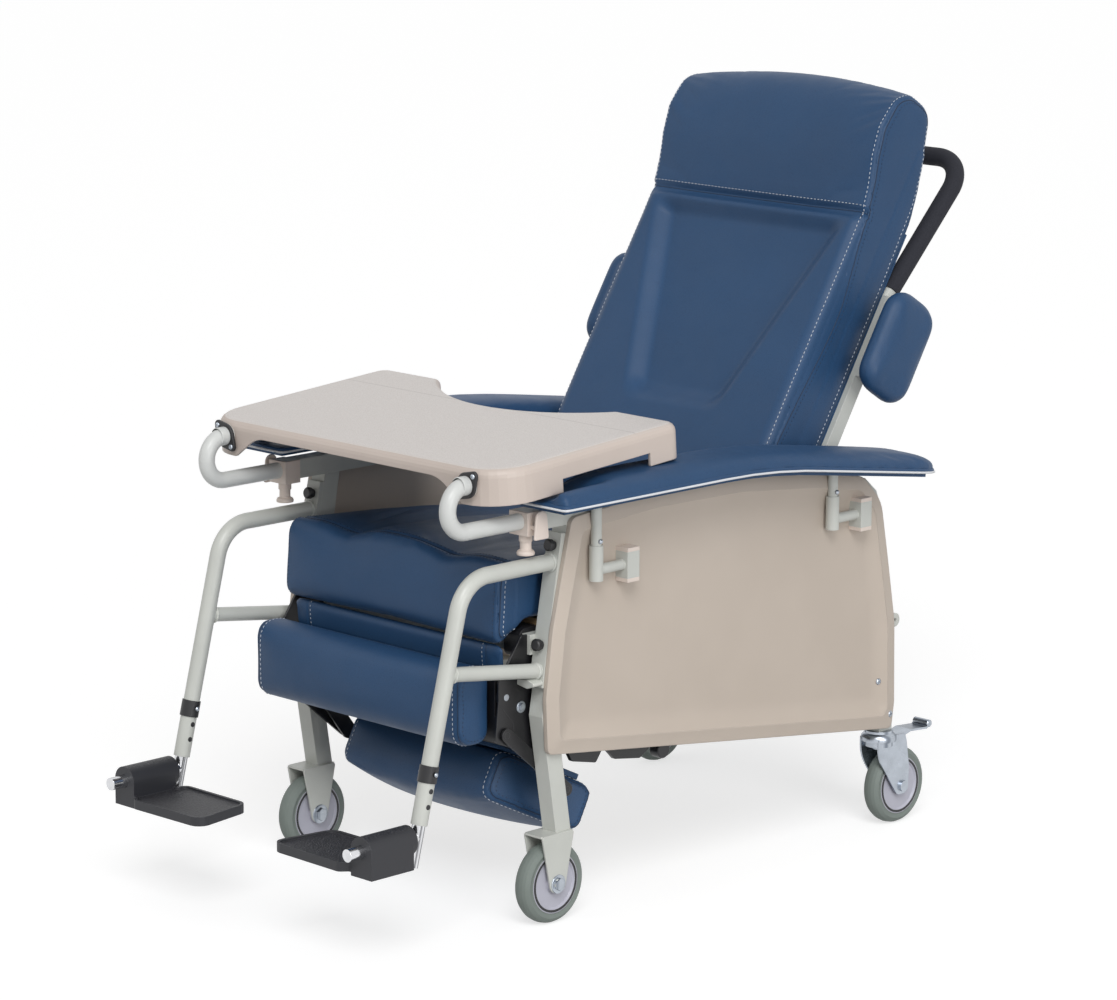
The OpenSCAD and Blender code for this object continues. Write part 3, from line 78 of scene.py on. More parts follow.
def noise(tree, place, scale, detail=3.0, stretch=None):
    """Cloudy pattern from 0 to 1; scale is in features for each metre."""
    if stretch:
        mapping = tree.nodes.new("ShaderNodeMapping")
        mapping.inputs["Scale"].default_value = stretch
        tree.links.new(place, mapping.inputs["Vector"])
        place = mapping.outputs["Vector"]
    node = tree.nodes.new("ShaderNodeTexNoise")
    node.inputs["Scale"].default_value = scale
    node.inputs["Detail"].default_value = detail
    tree.links.new(place, node.inputs["Vector"])
    return node.outputs["Fac"]


def cells(tree, place, scale, feature="DISTANCE_TO_EDGE"):
    """Pebbled pattern of small cells; scale is in cells for each metre."""
    node = tree.nodes.new("ShaderNodeTexVoronoi")
    node.feature = feature
    node.inputs["Scale"].default_value = scale
    tree.links.new(place, node.inputs["Vector"])
    return node.outputs["Distance"]


def span(tree, value, low, high, to_low, to_high):
    """Maps a value from one range to another and stops at its ends."""
    node = tree.nodes.new("ShaderNodeMapRange")
    for socket, number in zip(("From Min", "From Max", "To Min", "To Max"), (low, high, to_low, to_high)):
        node.inputs[socket].default_value = number
    tree.links.new(value, node.inputs["Value"])
    return node.outputs["Result"]


def mixed(tree, share, first, second):
    """Colour between two colours or colour outputs."""
    node = tree.nodes.new("ShaderNodeMix")
    node.data_type = "RGBA"
    tree.links.new(share, node.inputs["Factor"])
    for socket, colour in ((node.inputs[6], first), (node.inputs[7], second)):
        if isinstance(colour, tuple):
            socket.default_value = colour
        else:
            tree.links.new(colour, socket)
    return node.outputs[2]


def arris(tree, radius):
    """1 along the edges of a piece and 0 on its faces, with the rounded normal of those edges."""
    soft = tree.nodes.new("ShaderNodeBevel")
    soft.samples = 6
    soft.inputs["Radius"].default_value = radius
    true = tree.nodes.new("ShaderNodeNewGeometry")
    dot = tree.nodes.new("ShaderNodeVectorMath")
    dot.operation = "DOT_PRODUCT"
    tree.links.new(soft.outputs["Normal"], dot.inputs[0])
    tree.links.new(true.outputs["Normal"], dot.inputs[1])
    return span(tree, dot.outputs["Value"], 0.995, 0.86, 0.0, 1.0), soft.outputs["Normal"]


def bump(tree, shader, height, depth, strength=1.0, over=None):
    """Raises the surface by a height pattern, over another normal where one is given."""
    node = tree.nodes.new("ShaderNodeBump")
    node.inputs["Strength"].default_value = strength
    node.inputs["Distance"].default_value = depth
    tree.links.new(height, node.inputs["Height"])
    if over is not None:
        tree.links.new(over, node.inputs["Normal"])
    tree.links.new(node.outputs["Normal"], shader.inputs["Normal"])
    return node.outputs["Normal"]


def moulded(name, colour, worn, roughness, grain, grain_depth, edge=0.0012, specular=0.5):
    """Coat or plastic: slight clouds of colour and gloss, a fine grain, and paler worn edges."""
    material, tree, shader, place = begin_material(name, roughness, specular=specular)
    dark = tuple(0.93 * v for v in colour[:3]) + (1.0,)
    body = mixed(tree, span(tree, noise(tree, place, 14.0, 4.0), 0.3, 0.7, 0.0, 1.0), dark, colour)
    edges, rounded = arris(tree, edge)
    worn_share = span(tree, edges, 0.0, 1.0, 0.0, 0.6)
    tree.links.new(mixed(tree, worn_share, body, worn), shader.inputs["Base Color"])
    gloss = span(tree, noise(tree, place, 60.0, 5.0), 0.25, 0.75, roughness - 0.06, roughness + 0.08)
    tree.links.new(gloss, shader.inputs["Roughness"])
    bump(tree, shader, noise(tree, place, grain, 2.0), grain_depth, 0.6, rounded)
    return material


def dress(material, *names):
    """Gives CAD nodes their finish."""
    for name in names:
        for slot in nodes[name].material_slots:
            slot.material = material


def new_piece(name, mesh, material, body):
    """A finished mesh as a piece of the chair that rides on a body."""
    mesh.name = name
    mesh.materials.clear()
    mesh.materials.append(material)
    for face in mesh.polygons:
        face.use_smooth = True
    piece = bpy.data.objects.new(name, mesh)
    bpy.context.scene.collection.objects.link(piece)
    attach(piece, body)
    return piece


def gather(name, shapes, material, body):
    """One piece of the chair from several shapes, with crisp edges at their corners."""
    whole = bmesh.new()
    for shape in shapes:
        step = bpy.data.meshes.new(name)
        shape.to_mesh(step)
        shape.free()
        whole.from_mesh(step)
        bpy.data.meshes.remove(step)
    for edge in whole.edges:
        edge.smooth = edge.calc_face_angle(0.0) < 0.6
    mesh = bpy.data.meshes.new(name)
    whole.to_mesh(mesh)
    whole.free()
    return new_piece(name, mesh, material, body)


def facing(spot, way):
    """Place at a spot whose Z axis points along a direction."""
    return Matrix.Translation(spot) @ Vector(way).to_track_quat("Z", "Y").to_matrix().to_4x4()


def turned(profile, place, steps=24):
    """Shape of a profile of (radius, height) points turned round the Z axis of a place."""
    lathe = bmesh.new()
    corners = [lathe.verts.new((radius, 0.0, height)) for radius, height in profile]
    for a, b in zip(corners, corners[1:]):
        lathe.edges.new((a, b))
    bmesh.ops.spin(lathe, geom=lathe.verts[:] + lathe.edges[:], axis=(0, 0, 1), cent=(0, 0, 0),
                   angle=math.tau, steps=steps, use_merge=True)
    bmesh.ops.remove_doubles(lathe, verts=lathe.verts, dist=1e-6)
    bmesh.ops.recalc_face_normals(lathe, faces=lathe.faces)
    lathe.transform(place)
    return lathe


def plate_round(discs, thick, place, chamfer=0.0006):
    """Flat plate stretched round discs of (x, y, radius), its edges chamfered."""
    plate = bmesh.new()
    for x, y, radius in discs:
        for height, less in ((0, chamfer), (chamfer, 0), (thick - chamfer, 0), (thick, chamfer)):
            bmesh.ops.create_circle(plate, segments=20, radius=radius - less,
                                    matrix=Matrix.Translation((x, y, height)))
    bmesh.ops.convex_hull(plate, input=plate.verts)
    bmesh.ops.delete(plate, geom=[v for v in plate.verts if not v.link_faces], context="VERTS")
    bmesh.ops.delete(plate, geom=[e for e in plate.edges if not e.link_faces], context="EDGES")
    bmesh.ops.recalc_face_normals(plate, faces=plate.faces)
    plate.transform(place)
    return plate


frame_coat = moulded("frame_coat", screen(203, 205, 199), screen(222, 223, 218), 0.36, 420.0, 0.00012)
dress(
    frame_coat, "front_legs", "top_rails", "lower_rails", "rear_uprights", "middle_posts", "cross_tubes",
    "seat_rails", "back_bars", "push_handle", "wing_brackets", "armrest_posts", "armrest_brackets",
    "footrest_hangers", "front_forks",
)

frame_x = 0.265
lug_x, lug_y, lug_z = 0.272, 0.467, 0.338
lug_hole, lug_radius, lug_thick, lug_edge = 0.0032, 0.0112, 0.005, 0.0007
lug_ring = [(lug_hole, 0), (lug_radius - lug_edge, 0), (lug_radius, lug_edge),
            (lug_radius, lug_thick - lug_edge), (lug_radius - lug_edge, lug_thick), (lug_hole, lug_thick),
            (lug_hole, 0)]
lugs = [turned(lug_ring, facing((side * lug_x, lug_y, lug_z), (side, 0, 0))) for side in (-1, 1)]
gather("frame_lugs", lugs, frame_coat, "base")

bead_radius, bead_sides, bead_steps = 0.0022, 6, 40
ripple_depth, ripple_rate = 0.0004, 700.0


def weld_bead(spot, way, radius):
    """Rippled ring of weld where a round tube meets another piece."""
    turns = [step * math.tau / bead_sides for step in range(bead_sides + 1)]
    section = [(radius + bead_radius * math.cos(turn), bead_radius * math.sin(turn)) for turn in turns]
    ring = turned(section, facing(spot, way), bead_steps)
    for v in ring.verts:
        v.co += v.normal * ripple_depth * math.sin(ripple_rate * (v.co.x + v.co.z))
    return ring


upper_tube_radius, cross_tube_radius, cross_tube_rise = 0.0125, 0.011, 0.14
hanger_joints = [(-0.2985, 0.548, 0.0, upper_tube_radius),
                 (-0.327, 0.3886, cross_tube_rise, cross_tube_radius),
                 (-0.4938, 0.4122, cross_tube_rise, cross_tube_radius)]
welds = [weld_bead((side * frame_x, y, z), (0, -1, rise), radius)
         for side in (-1, 1) for y, z, rise, radius in hanger_joints]
gather("hanger_welds", welds, frame_coat, "base")

rest_y, rest_z, rest_thick = -0.3225, 0.372, 0.022
rest_inward, rest_outward, rest_half, rest_round = 0.030, 0.011, 0.004, 0.003
rest_tip = 0.0022
lying = Matrix.Rotation(math.pi / 2, 4, "X")
rests = []
for side in (-1, 1):
    corners = [(0, rest_half, rest_round), (0, -rest_half, rest_round), (-side * rest_inward, 0, rest_tip),
               (side * rest_outward, 0, rest_round)]
    stand = Matrix.Translation((side * frame_x, rest_y, rest_z)) @ lying
    rests.append(plate_round(corners, rest_thick, stand))
gather("hanger_rests", rests, frame_coat, "base")


# Moulded caps and black steel
# Injection-moulded caps close the tube ends; the leg rest hangs in black painted steel plates
# and links. The hinge pins and buttons are zinc plated.

black_plastic = moulded("black_plastic", screen(30, 30, 33), screen(52, 52, 55), 0.42, 900.0, 0.0001)
dress(black_plastic, "cross_tube_caps", "hanger_knobs", "hanger_collars")

black_steel = moulded("black_steel", screen(24, 24, 27), screen(70, 70, 72), 0.34, 380.0, 0.0001)
dress(black_steel, "mechanism_plates", "swing_arms", "front_links", "calf_board")


def metal(name, colour, roughness, scratch, painted_reflection=None):
    """Plated steel: bright metal with faint clouds, fine scratches, and painted dark reflections in bands
    along tubes.
    """
    material, tree, shader, place = begin_material(name, roughness, metallic=1.0)
    dull = tuple(0.82 * v for v in colour[:3]) + (1.0,)
    clouds = span(tree, noise(tree, place, 55.0, 6.0), 0.3, 0.7, 0.0, 1.0)
    body = mixed(tree, clouds, dull, colour)
    # Painted reflection: dark bands where the surface faces a fixed way, standing in for dark surroundings
    # mirrored in the metal.
    if painted_reflection:
        reflection_facing = tree.nodes.new("ShaderNodeVectorMath")
        reflection_facing.operation = "DOT_PRODUCT"
        reflection_facing.inputs[1].default_value = (0.35, -0.93, 0.1)
        tree.links.new(tree.nodes.new("ShaderNodeNewGeometry").outputs["Normal"], reflection_facing.inputs[0])
        reflection_bands = tree.nodes.new("ShaderNodeMath")
        reflection_bands.operation = "PINGPONG"
        reflection_bands.inputs[1].default_value = 0.3
        tree.links.new(reflection_facing.outputs["Value"], reflection_bands.inputs[0])
        body = mixed(tree, span(tree, reflection_bands.outputs[0], 0.05, 0.18, 0.75, 0.0), body, painted_reflection)
    tree.links.new(body, shader.inputs["Base Color"])
    lines = noise(tree, place, 90.0, 4.0, (1.0, 1.0, 14.0))
    gloss = span(tree, lines, 0.3, 0.7, roughness - 0.05, roughness + 0.1)
    tree.links.new(gloss, shader.inputs["Roughness"])
    edges, rounded = arris(tree, 0.0008)
    bump(tree, shader, lines, scratch, 0.5, rounded)
    return material


# The last colour of each is its painted dark reflection.
zinc_plate = metal("zinc_plate", screen(186, 193, 202), 0.3, 0.00008, screen(104, 112, 124))
chrome_plate = metal("chrome_plate", screen(228, 229, 232), 0.12, 0.00002, screen(52, 54, 60))
dress(zinc_plate, "pivot_pins", "armrest_buttons_left", "armrest_buttons_right")


def hex_bolt(place, across, height):
    """Hexagon bolt head on a washer, its upper corners turned off."""
    head = bmesh.new()
    bmesh.ops.create_circle(head, cap_ends=True, segments=6, radius=across / math.sqrt(3))
    raised = bmesh.ops.extrude_face_region(head, geom=head.faces[:])["geom"]
    tops = [v for v in raised if isinstance(v, bmesh.types.BMVert)]
    bmesh.ops.translate(head, vec=(0, 0, height), verts=tops)
    rim = [e for e in head.edges if all(v in tops for v in e.verts)]
    bmesh.ops.bevel(head, geom=rim, offset=0.1 * across, offset_type="OFFSET", affect="EDGES", segments=2,
                    profile=0.5, material=-1)
    bmesh.ops.recalc_face_normals(head, faces=head.faces)
    head.transform(place)
    half = 0.82 * across
    washer = turned([(0.0, 0.0), (half, 0.0), (half, 0.0011), (0.96 * half, 0.0015), (0.0, 0.0015)], place)
    return [head, washer]


def pan_screw(place, radius):
    """Round screw head with a recess for the driver."""
    low, high, brim = 0.22 * radius, 0.55 * radius, 0.45 * radius
    return turned([(0.0, low), (low, low), (0.3 * radius, high), (0.7 * radius, brim), (0.94 * radius, low),
                   (radius, 0.0), (0.0, 0.0)], place)


plate_bolt_x, plate_bolt_y, plate_bolt_z = 0.2449, -0.337, 0.333
plate_bolt_across, plate_bolt_height = 0.011, 0.0045
plate_bolts = []
for side in (-1, 1):
    place = facing((side * plate_bolt_x, plate_bolt_y, plate_bolt_z), (side, 0, 0))
    plate_bolts += hex_bolt(place, plate_bolt_across, plate_bolt_height)
gather("mechanism_bolts", plate_bolts, zinc_plate, "base")

upright_plane = Matrix(((0, 0, 1, 0), (1, 0, 0, 0), (0, 1, 0, 0), (0, 0, 0, 1)))
web_x, web_thick = 0.2430, 0.0036
web_corners = [(-0.379, 0.346, 0.003), (-0.384, 0.290, 0.004), (-0.318, 0.262, 0.004),
               (-0.292, 0.252, 0.004), (-0.292, 0.346, 0.003)]
stay_thick = 0.008
front_stay = [(-0.262, 0.262, 0.004), (-0.190, 0.252, 0.004), (-0.205, 0.233, 0.005), (-0.250, 0.243, 0.005)]
rear_stay = [(-0.182, 0.251, 0.004), (-0.080, 0.238, 0.004), (-0.110, 0.223, 0.006), (-0.160, 0.231, 0.006)]
roller_y, roller_z = -0.062, 0.2215
roller_radius, roller_long, roller_edge = 0.013, 0.020, 0.002
roller = [(0.0, 0.0), (roller_radius - roller_edge, 0.0), (roller_radius, roller_edge),
          (roller_radius, roller_long - roller_edge), (roller_radius - roller_edge, roller_long),
          (0.0, roller_long)]
rail_stays, plate_webs = [], []
for side in (-1, 1):
    stand = Matrix.Translation((side * web_x - web_thick / 2, 0, 0)) @ upright_plane
    plate_webs.append(plate_round(web_corners, web_thick, stand))
    stand = Matrix.Translation((side * frame_x - stay_thick / 2, 0, 0)) @ upright_plane
    rail_stays.append(plate_round(front_stay, stay_thick, stand))
    rail_stays.append(plate_round(rear_stay, stay_thick, stand))
    roller_end = (side * frame_x - roller_long / 2, roller_y, roller_z)
    rail_stays.append(turned(roller, facing(roller_end, (1, 0, 0))))
gather("rail_stays", rail_stays, black_steel, "base")
gather("mechanism_webs", plate_webs, black_steel, "base")


def plywood(name):
    """Birch board: growth lines along the board."""
    material, tree, shader, place = begin_material(name, 0.6)
    lines = noise(tree, place, 60.0, 6.0, (1.0, 0.12, 6.0))
    colour = mixed(tree, span(tree, lines, 0.3, 0.7, 0.0, 1.0), screen(150, 122, 88), screen(196, 168, 128))
    tree.links.new(colour, shader.inputs["Base Color"])
    bump(tree, shader, lines, 0.0002, 0.5)
    return material


dress(plywood("birch_board"), "seat_board")


# Side panels
# Two vacuum-formed beige panels with a raised rim close the frames on the outside. The sheet has
# a fine leathery grain and turns a little paler along its edges.

def panel_sheet():
    """Beige sheet with a fine grain that turns paler along its edges."""
    material, tree, shader, place = begin_material("panel_sheet", 0.5, specular=0.45)
    clouds = span(tree, noise(tree, place, 5.0, 3.0), 0.3, 0.7, 0.0, 1.0)
    body = mixed(tree, clouds, screen(192, 180, 168), screen(199, 187, 175))
    edges, rounded = arris(tree, 0.003)
    tree.links.new(mixed(tree, span(tree, edges, 0.0, 1.0, 0.0, 0.5), body, screen(214, 204, 194)),
                   shader.inputs["Base Color"])
    grain = cells(tree, place, 950.0)
    tree.links.new(span(tree, grain, 0.0, 0.3, 0.56, 0.46), shader.inputs["Roughness"])
    bump(tree, shader, grain, 0.00012, 0.5, rounded)
    return material


rim_height = 0.004
rim_lift = 0.0055
rim_step = 0.0008
slope_width = 0.027
slope_power = 1.2
cut_pitch = 0.009


def parts_of(faces):
    """Faces with their edges and corners."""
    return faces + list({e for f in faces for e in f.edges}) + list({v for f in faces for v in f.verts})


def drawn_panels():
    """Copy of the CAD panels whose field rises to the rim in a wide soft slope, as drawn sheet does."""
    sheet = bmesh.new()
    sheet.from_mesh(nodes["side_panels"].data)
    bmesh.ops.remove_doubles(sheet, verts=sheet.verts, dist=1e-5)
    sheet.normal_update()
    rim_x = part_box("side_panels")[1][0]
    field_x = rim_x - rim_height
    for side in (-1, 1):
        field = [f for f in sheet.faces
                 if side * f.normal.x > 0.99 and abs(side * f.calc_center_median().x - field_x) < 2e-4]
        own = set(field)
        border = [[v.co.copy() for v in e.verts] for f in field for e in f.edges
                  if any(other not in own for other in e.link_faces)]
        foot_of_rim = {(round(p.y, 4), round(p.z, 4)) for line in border for p in line}
        for v in sheet.verts:
            if side * v.co.x > rim_x - 1e-4 and (round(v.co.y, 4), round(v.co.z, 4)) in foot_of_rim:
                v.co.x += side * rim_lift
        near = parts_of(field)
        for axis in (1, 2):
            way = Vector((0, 1, 0)) if axis == 1 else Vector((0, 0, 1))
            levels = [p[axis] for line in border for p in line]
            for step in range(1, int((max(levels) - min(levels)) / cut_pitch)):
                cut = way * (min(levels) + step * cut_pitch)
                near = bmesh.ops.bisect_plane(sheet, geom=near, plane_co=cut, plane_no=way, dist=1e-6)["geom"]
        for v in near:
            if isinstance(v, bmesh.types.BMVert):
                away = slope_width
                for a, b in border:
                    spot, share = intersect_point_line(v.co, a, b)
                    spot = a if share < 0 else b if share > 1 else spot
                    away = min(away, (v.co - spot).length)
                v.co.x += side * (rim_height + rim_lift - rim_step) * (1 - away / slope_width) ** slope_power
    return sheet


panel_skin = drawn_panels()
panel_faces = BVHTree.FromBMesh(panel_skin)
screw_places = [(0.418, 0.247), (0.444, 0.190)]
screw_radius, screw_sink = 0.0055, 0.0006
beyond_panel = 0.4
panel_screws = []
for side in (-1, 1):
    for y, z in screw_places:
        spot = panel_faces.ray_cast(Vector((side * beyond_panel, y, z)), Vector((-side, 0, 0)))[0]
        screw_place = facing(spot - Vector((side * screw_sink, 0, 0)), (side, 0, 0))
        panel_screws.append(pan_screw(screw_place, screw_radius))
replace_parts(gather("side_panel_sheets", [panel_skin], panel_sheet(), "base"), "side_panels")
gather("panel_screws", panel_screws, zinc_plate, "base")
pale_plastic = moulded("pale_plastic", screen(230, 216, 206), screen(240, 230, 222), 0.44, 700.0, 0.0001)
dress(pale_plastic, "bracket_caps", "tray_clamps", "clamp_knob_left", "clamp_knob_right")


# Armrest pads
# Foam on a stiff board under navy vinyl, crowned above and flat below. The vinyl is drawn round
# the board, ends in a small roll and is closed by a white edge trim along the lower rim.

def vinyl(name, dark, mid, light):
    """Soft navy upholstery vinyl: fine leather grain with painted shade in its hollows, faint clouds, satin
    gloss.
    """
    material, tree, shader, place = begin_material(name, 0.48, specular=0.34)
    clouds = noise(tree, place, 5.0, 4.0)
    body = mixed(tree, span(tree, clouds, 0.3, 0.7, 0.0, 1.0), mid, light)
    grain = cells(tree, place, 620.0)
    # Painted shade: the dark colour is laid into the hollows between the grain's cells.
    painted_grain_shade = span(tree, grain, 0.0, 0.12, 0.55, 0.0)
    tree.links.new(mixed(tree, painted_grain_shade, body, dark), shader.inputs["Base Color"])
    wear = noise(tree, place, 30.0, 5.0)
    tree.links.new(span(tree, wear, 0.25, 0.75, 0.43, 0.53), shader.inputs["Roughness"])
    fine = bump(tree, shader, grain, 0.0002, 0.35)
    bump(tree, shader, noise(tree, place, 24.0, 2.0), 0.0012, 0.12, fine)
    return material


# The first colour is the painted shade in the grain's hollows.
navy_vinyl = vinyl("navy_vinyl", screen(24, 48, 78), screen(37, 70, 106), screen(40, 75, 113))


def cover_of(node, voxel, draw_in, form=None):
    """Copy of a soft CAD solid as one even skin, drawn in a little so that it can swell back."""
    mesh = nodes[node].data.copy()
    merge = bmesh.new()
    merge.from_mesh(mesh)
    bmesh.ops.remove_doubles(merge, verts=merge.verts, dist=1e-5)
    if form:
        for v in merge.verts:
            v.co = form(v.co)
    merge.to_mesh(mesh)
    merge.free()
    mesh.materials.clear()
    cover = bpy.data.objects.new(node + "_cover", mesh)
    bpy.context.scene.collection.objects.link(cover)
    even = cover.modifiers.new("Even faces", "REMESH")
    even.mode = "VOXEL"
    even.voxel_size = voxel
    settle(cover)
    smooth = bmesh.new()
    smooth.from_mesh(cover.data)
    for step in range(2):
        bmesh.ops.smooth_vert(smooth, verts=smooth.verts, factor=0.5, use_axis_x=True, use_axis_y=True,
                              use_axis_z=True)
    smooth.normal_update()
    for v in smooth.verts:
        v.co -= v.normal * draw_in
    smooth.to_mesh(cover.data)
    smooth.free()
    return cover


def settle(piece):
    """Applies the modifiers of a piece to its mesh."""
    bpy.context.view_layer.update()
    worked = piece.evaluated_get(bpy.context.evaluated_depsgraph_get())
    mesh = bpy.data.meshes.new_from_object(worked)
    piece.modifiers.clear()
    old = piece.data
    piece.data = mesh
    bpy.data.meshes.remove(old)


def blow_up(cover, place, held, cap, pressure=4.0):
    """Air pressure swells a cover between the lines where held() says it is sewn or rests."""
    back = place.inverted()
    group = cover.vertex_groups.new(name="sewn")
    group.add([v.index for v in cover.data.vertices if held(back @ v.co, back.to_3x3() @ v.normal)],
              1.0, "REPLACE")
    cloth = cover.modifiers.new("Pressure", "CLOTH")
    cloth.settings.vertex_group_mass = "sewn"
    cloth.settings.use_pressure = True
    cloth.settings.uniform_pressure_force = pressure
    cloth.settings.effector_weights.gravity = 0.0
    cloth.settings.quality = 4
    for step in range(1, 21):
        bpy.context.scene.frame_set(step)
    swollen = cover.evaluated_get(bpy.context.evaluated_depsgraph_get()).to_mesh()
    moved = [v.co.copy() for v in swollen.vertices]
    cover.evaluated_get(bpy.context.evaluated_depsgraph_get()).to_mesh_clear()
    cover.modifiers.clear()
    bpy.context.scene.frame_set(1)
    for v, to in zip(cover.data.vertices, moved):
        way = to - v.co
        if way.length > 1e-7:
            v.co += way * (cap * math.tanh(way.length / cap) / way.length)
    cover.vertex_groups.clear()
    finer = cover.modifiers.new("Finer faces", "SUBSURF")
    finer.levels = finer.render_levels = 1
    settle(cover)


def finish_cover(cover, body, nodes_hidden, material):
    """Smooth shading, vinyl, and the place of a cover on the chair."""
    for face in cover.data.polygons:
        face.use_smooth = True
    cover.data.materials.append(material)
    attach(cover, body)
    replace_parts(cover, *nodes_hidden)


def tube(name, runs, radius, material, body, closed=False):
    """Round bead, welt or piping along runs of points."""
    curve = bpy.data.curves.new(name, "CURVE")
    curve.dimensions = "3D"
    curve.bevel_depth = radius
    curve.bevel_resolution = 2
    curve.use_fill_caps = True
    for run in runs:
        line = curve.splines.new("POLY")
        line.points.add(len(run) - 1)
        line.use_cyclic_u = closed
        for point, to in zip(line.points, run):
            point.co = (*to, 1.0)
    shaped = bpy.data.objects.new(name + "_line", curve)
    bpy.context.scene.collection.objects.link(shaped)
    bpy.context.view_layer.update()
    mesh = bpy.data.meshes.new_from_object(shaped.evaluated_get(bpy.context.evaluated_depsgraph_get()))
    bpy.data.objects.remove(shaped)
    return new_piece(name, mesh, material, body)


arm_bend_y, arm_front_share = -0.200, 0.80
arm_voxel, arm_draw_in, arm_swell = 0.005, 0.001, 0.004


def arm_drawn(p):
    """The armrest's front part drawn back, so that the tray clamps stand clear of it."""
    if p.y > arm_bend_y:
        return p
    return Vector((p.x, arm_bend_y + (p.y - arm_bend_y) * arm_front_share, p.z))


def formed_copy(node, name, form, material, body):
    """Copy of a CAD node in another form, in its place."""
    shape = bmesh.new()
    shape.from_mesh(nodes[node].data)
    bmesh.ops.remove_doubles(shape, verts=shape.verts, dist=1e-5)
    for v in shape.verts:
        v.co = form(v.co)
    shape.normal_update()
    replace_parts(gather(name, [shape], material, body), node)


arm_cover = cover_of("armrest_pads", arm_voxel, arm_draw_in, arm_drawn)
blow_up(arm_cover, Matrix.Identity(4), lambda p, n: n.z < 0.1, arm_swell)
finish_cover(arm_cover, "base", ["armrest_pads"], navy_vinyl)
formed_copy("armrest_boards", "armrest_undersides", arm_drawn, navy_vinyl, "base")
dress(navy_vinyl, "back_board")


def lower_rim(node):
    """Closed runs of points along the sharp lower edges of a CAD pad."""
    rim = bmesh.new()
    rim.from_mesh(nodes[node].data)
    bmesh.ops.remove_doubles(rim, verts=rim.verts, dist=1e-5)
    rim.normal_update()
    sharp = {}
    for edge in rim.edges:
        if len(edge.link_faces) == 2 and min(f.normal.z for f in edge.link_faces) < -0.9:
            if edge.calc_face_angle(0.0) > 0.9:
                for v in edge.verts:
                    sharp.setdefault(v, []).append(edge.other_vert(v))
    runs = []
    left = set(sharp)
    while left:
        first = min(left, key=lambda v: v.index)
        run, at = [first], first
        left.discard(first)
        while True:
            ahead = [v for v in sharp[at] if v in left]
            if not ahead:
                break
            at = ahead[0]
            left.discard(at)
            run.append(at)
        runs.append([v.co.copy() for v in run])
    rim.free()
    return runs


trim_white = moulded("trim_white", screen(226, 228, 232), screen(238, 240, 242), 0.5, 800.0, 0.0001)
trim_radius = 0.0018
arm_rims = [[arm_drawn(p) for p in run] for run in lower_rim("armrest_pads")]
tube("armrest_trim", arm_rims, trim_radius, trim_white, "base", closed=True)
roll_in, roll_up, roll_radius = 0.0032, 0.0028, 0.0038


def set_in(run):
    """A closed rim drawn in towards its middle and lifted, for the roll of vinyl above the trim."""
    low = [min(p[axis] for p in run) for axis in (0, 1)]
    high = [max(p[axis] for p in run) for axis in (0, 1)]
    middle = Vector(((low[0] + high[0]) / 2, (low[1] + high[1]) / 2, 0.0))
    share = Vector((1 - 2 * roll_in / (high[0] - low[0]), 1 - 2 * roll_in / (high[1] - low[1]), 1.0))
    return [middle + (p - middle) * share + Vector((0, 0, roll_up)) for p in run]


arm_rolls = [set_in(run) for run in arm_rims]
tube("armrest_rolls", arm_rolls, roll_radius, navy_vinyl, "base", closed=True)


# Seat cushion
# Boxed foam cushion: a top panel with two thigh channels, a deep front panel under a wavy top seam,
# and flat end panels. Each panel is sewn to the next with a welt and a row of stitches.

seat_place = Matrix.Translation((0, -0.374, 0.553)) @ Matrix.Rotation(math.radians(-4.0), 4, "X")


def open_cover(cover, place):
    """Bmesh of a cover in the upright frame of its cushion."""
    sheet = bmesh.new()
    sheet.from_mesh(cover.data)
    sheet.transform(place.inverted())
    sheet.normal_update()
    return sheet


def close_cover(cover, sheet, place):
    """Puts a sewn cover back in its place on the chair."""
    sheet.transform(place)
    sheet.normal_update()
    sheet.to_mesh(cover.data)
    sheet.free()


def near_plane(sheet, point, normal, reach, keep):
    """Faces of a cover close to a plane."""
    level = point.dot(normal)
    corners = [v for v in sheet.verts if abs(v.co.dot(normal) - level) < reach and keep(v.co)]
    return list({f for v in corners for f in v.link_faces})


seam_rows, seam_curve = (-1.0, -0.35, 0.0, 0.35, 1.0), 1.6
sew_spare, cut_reach = 0.004, 0.012


def sew(sheet, point, normal, width, depth, keep):
    """Draws the cover in along a plane, with rows of edges on the seam and beside it."""
    point, normal = Vector(point), Vector(normal).normalized()
    near = parts_of(near_plane(sheet, point, normal, 2 * width + sew_spare, keep))
    for row in seam_rows:
        spot = point + normal * (row * width)
        near = bmesh.ops.bisect_plane(sheet, geom=near, plane_co=spot, plane_no=normal, dist=1e-6)["geom"]
    sheet.normal_update()
    drawn = []
    for v in near:
        if isinstance(v, bmesh.types.BMVert):
            away = abs((v.co - point).dot(normal)) / width
            if away < 1 and keep(v.co):
                drawn.append((v, v.normal * depth * (1 - away) ** seam_curve))
    for v, way in drawn:
        v.co -= way


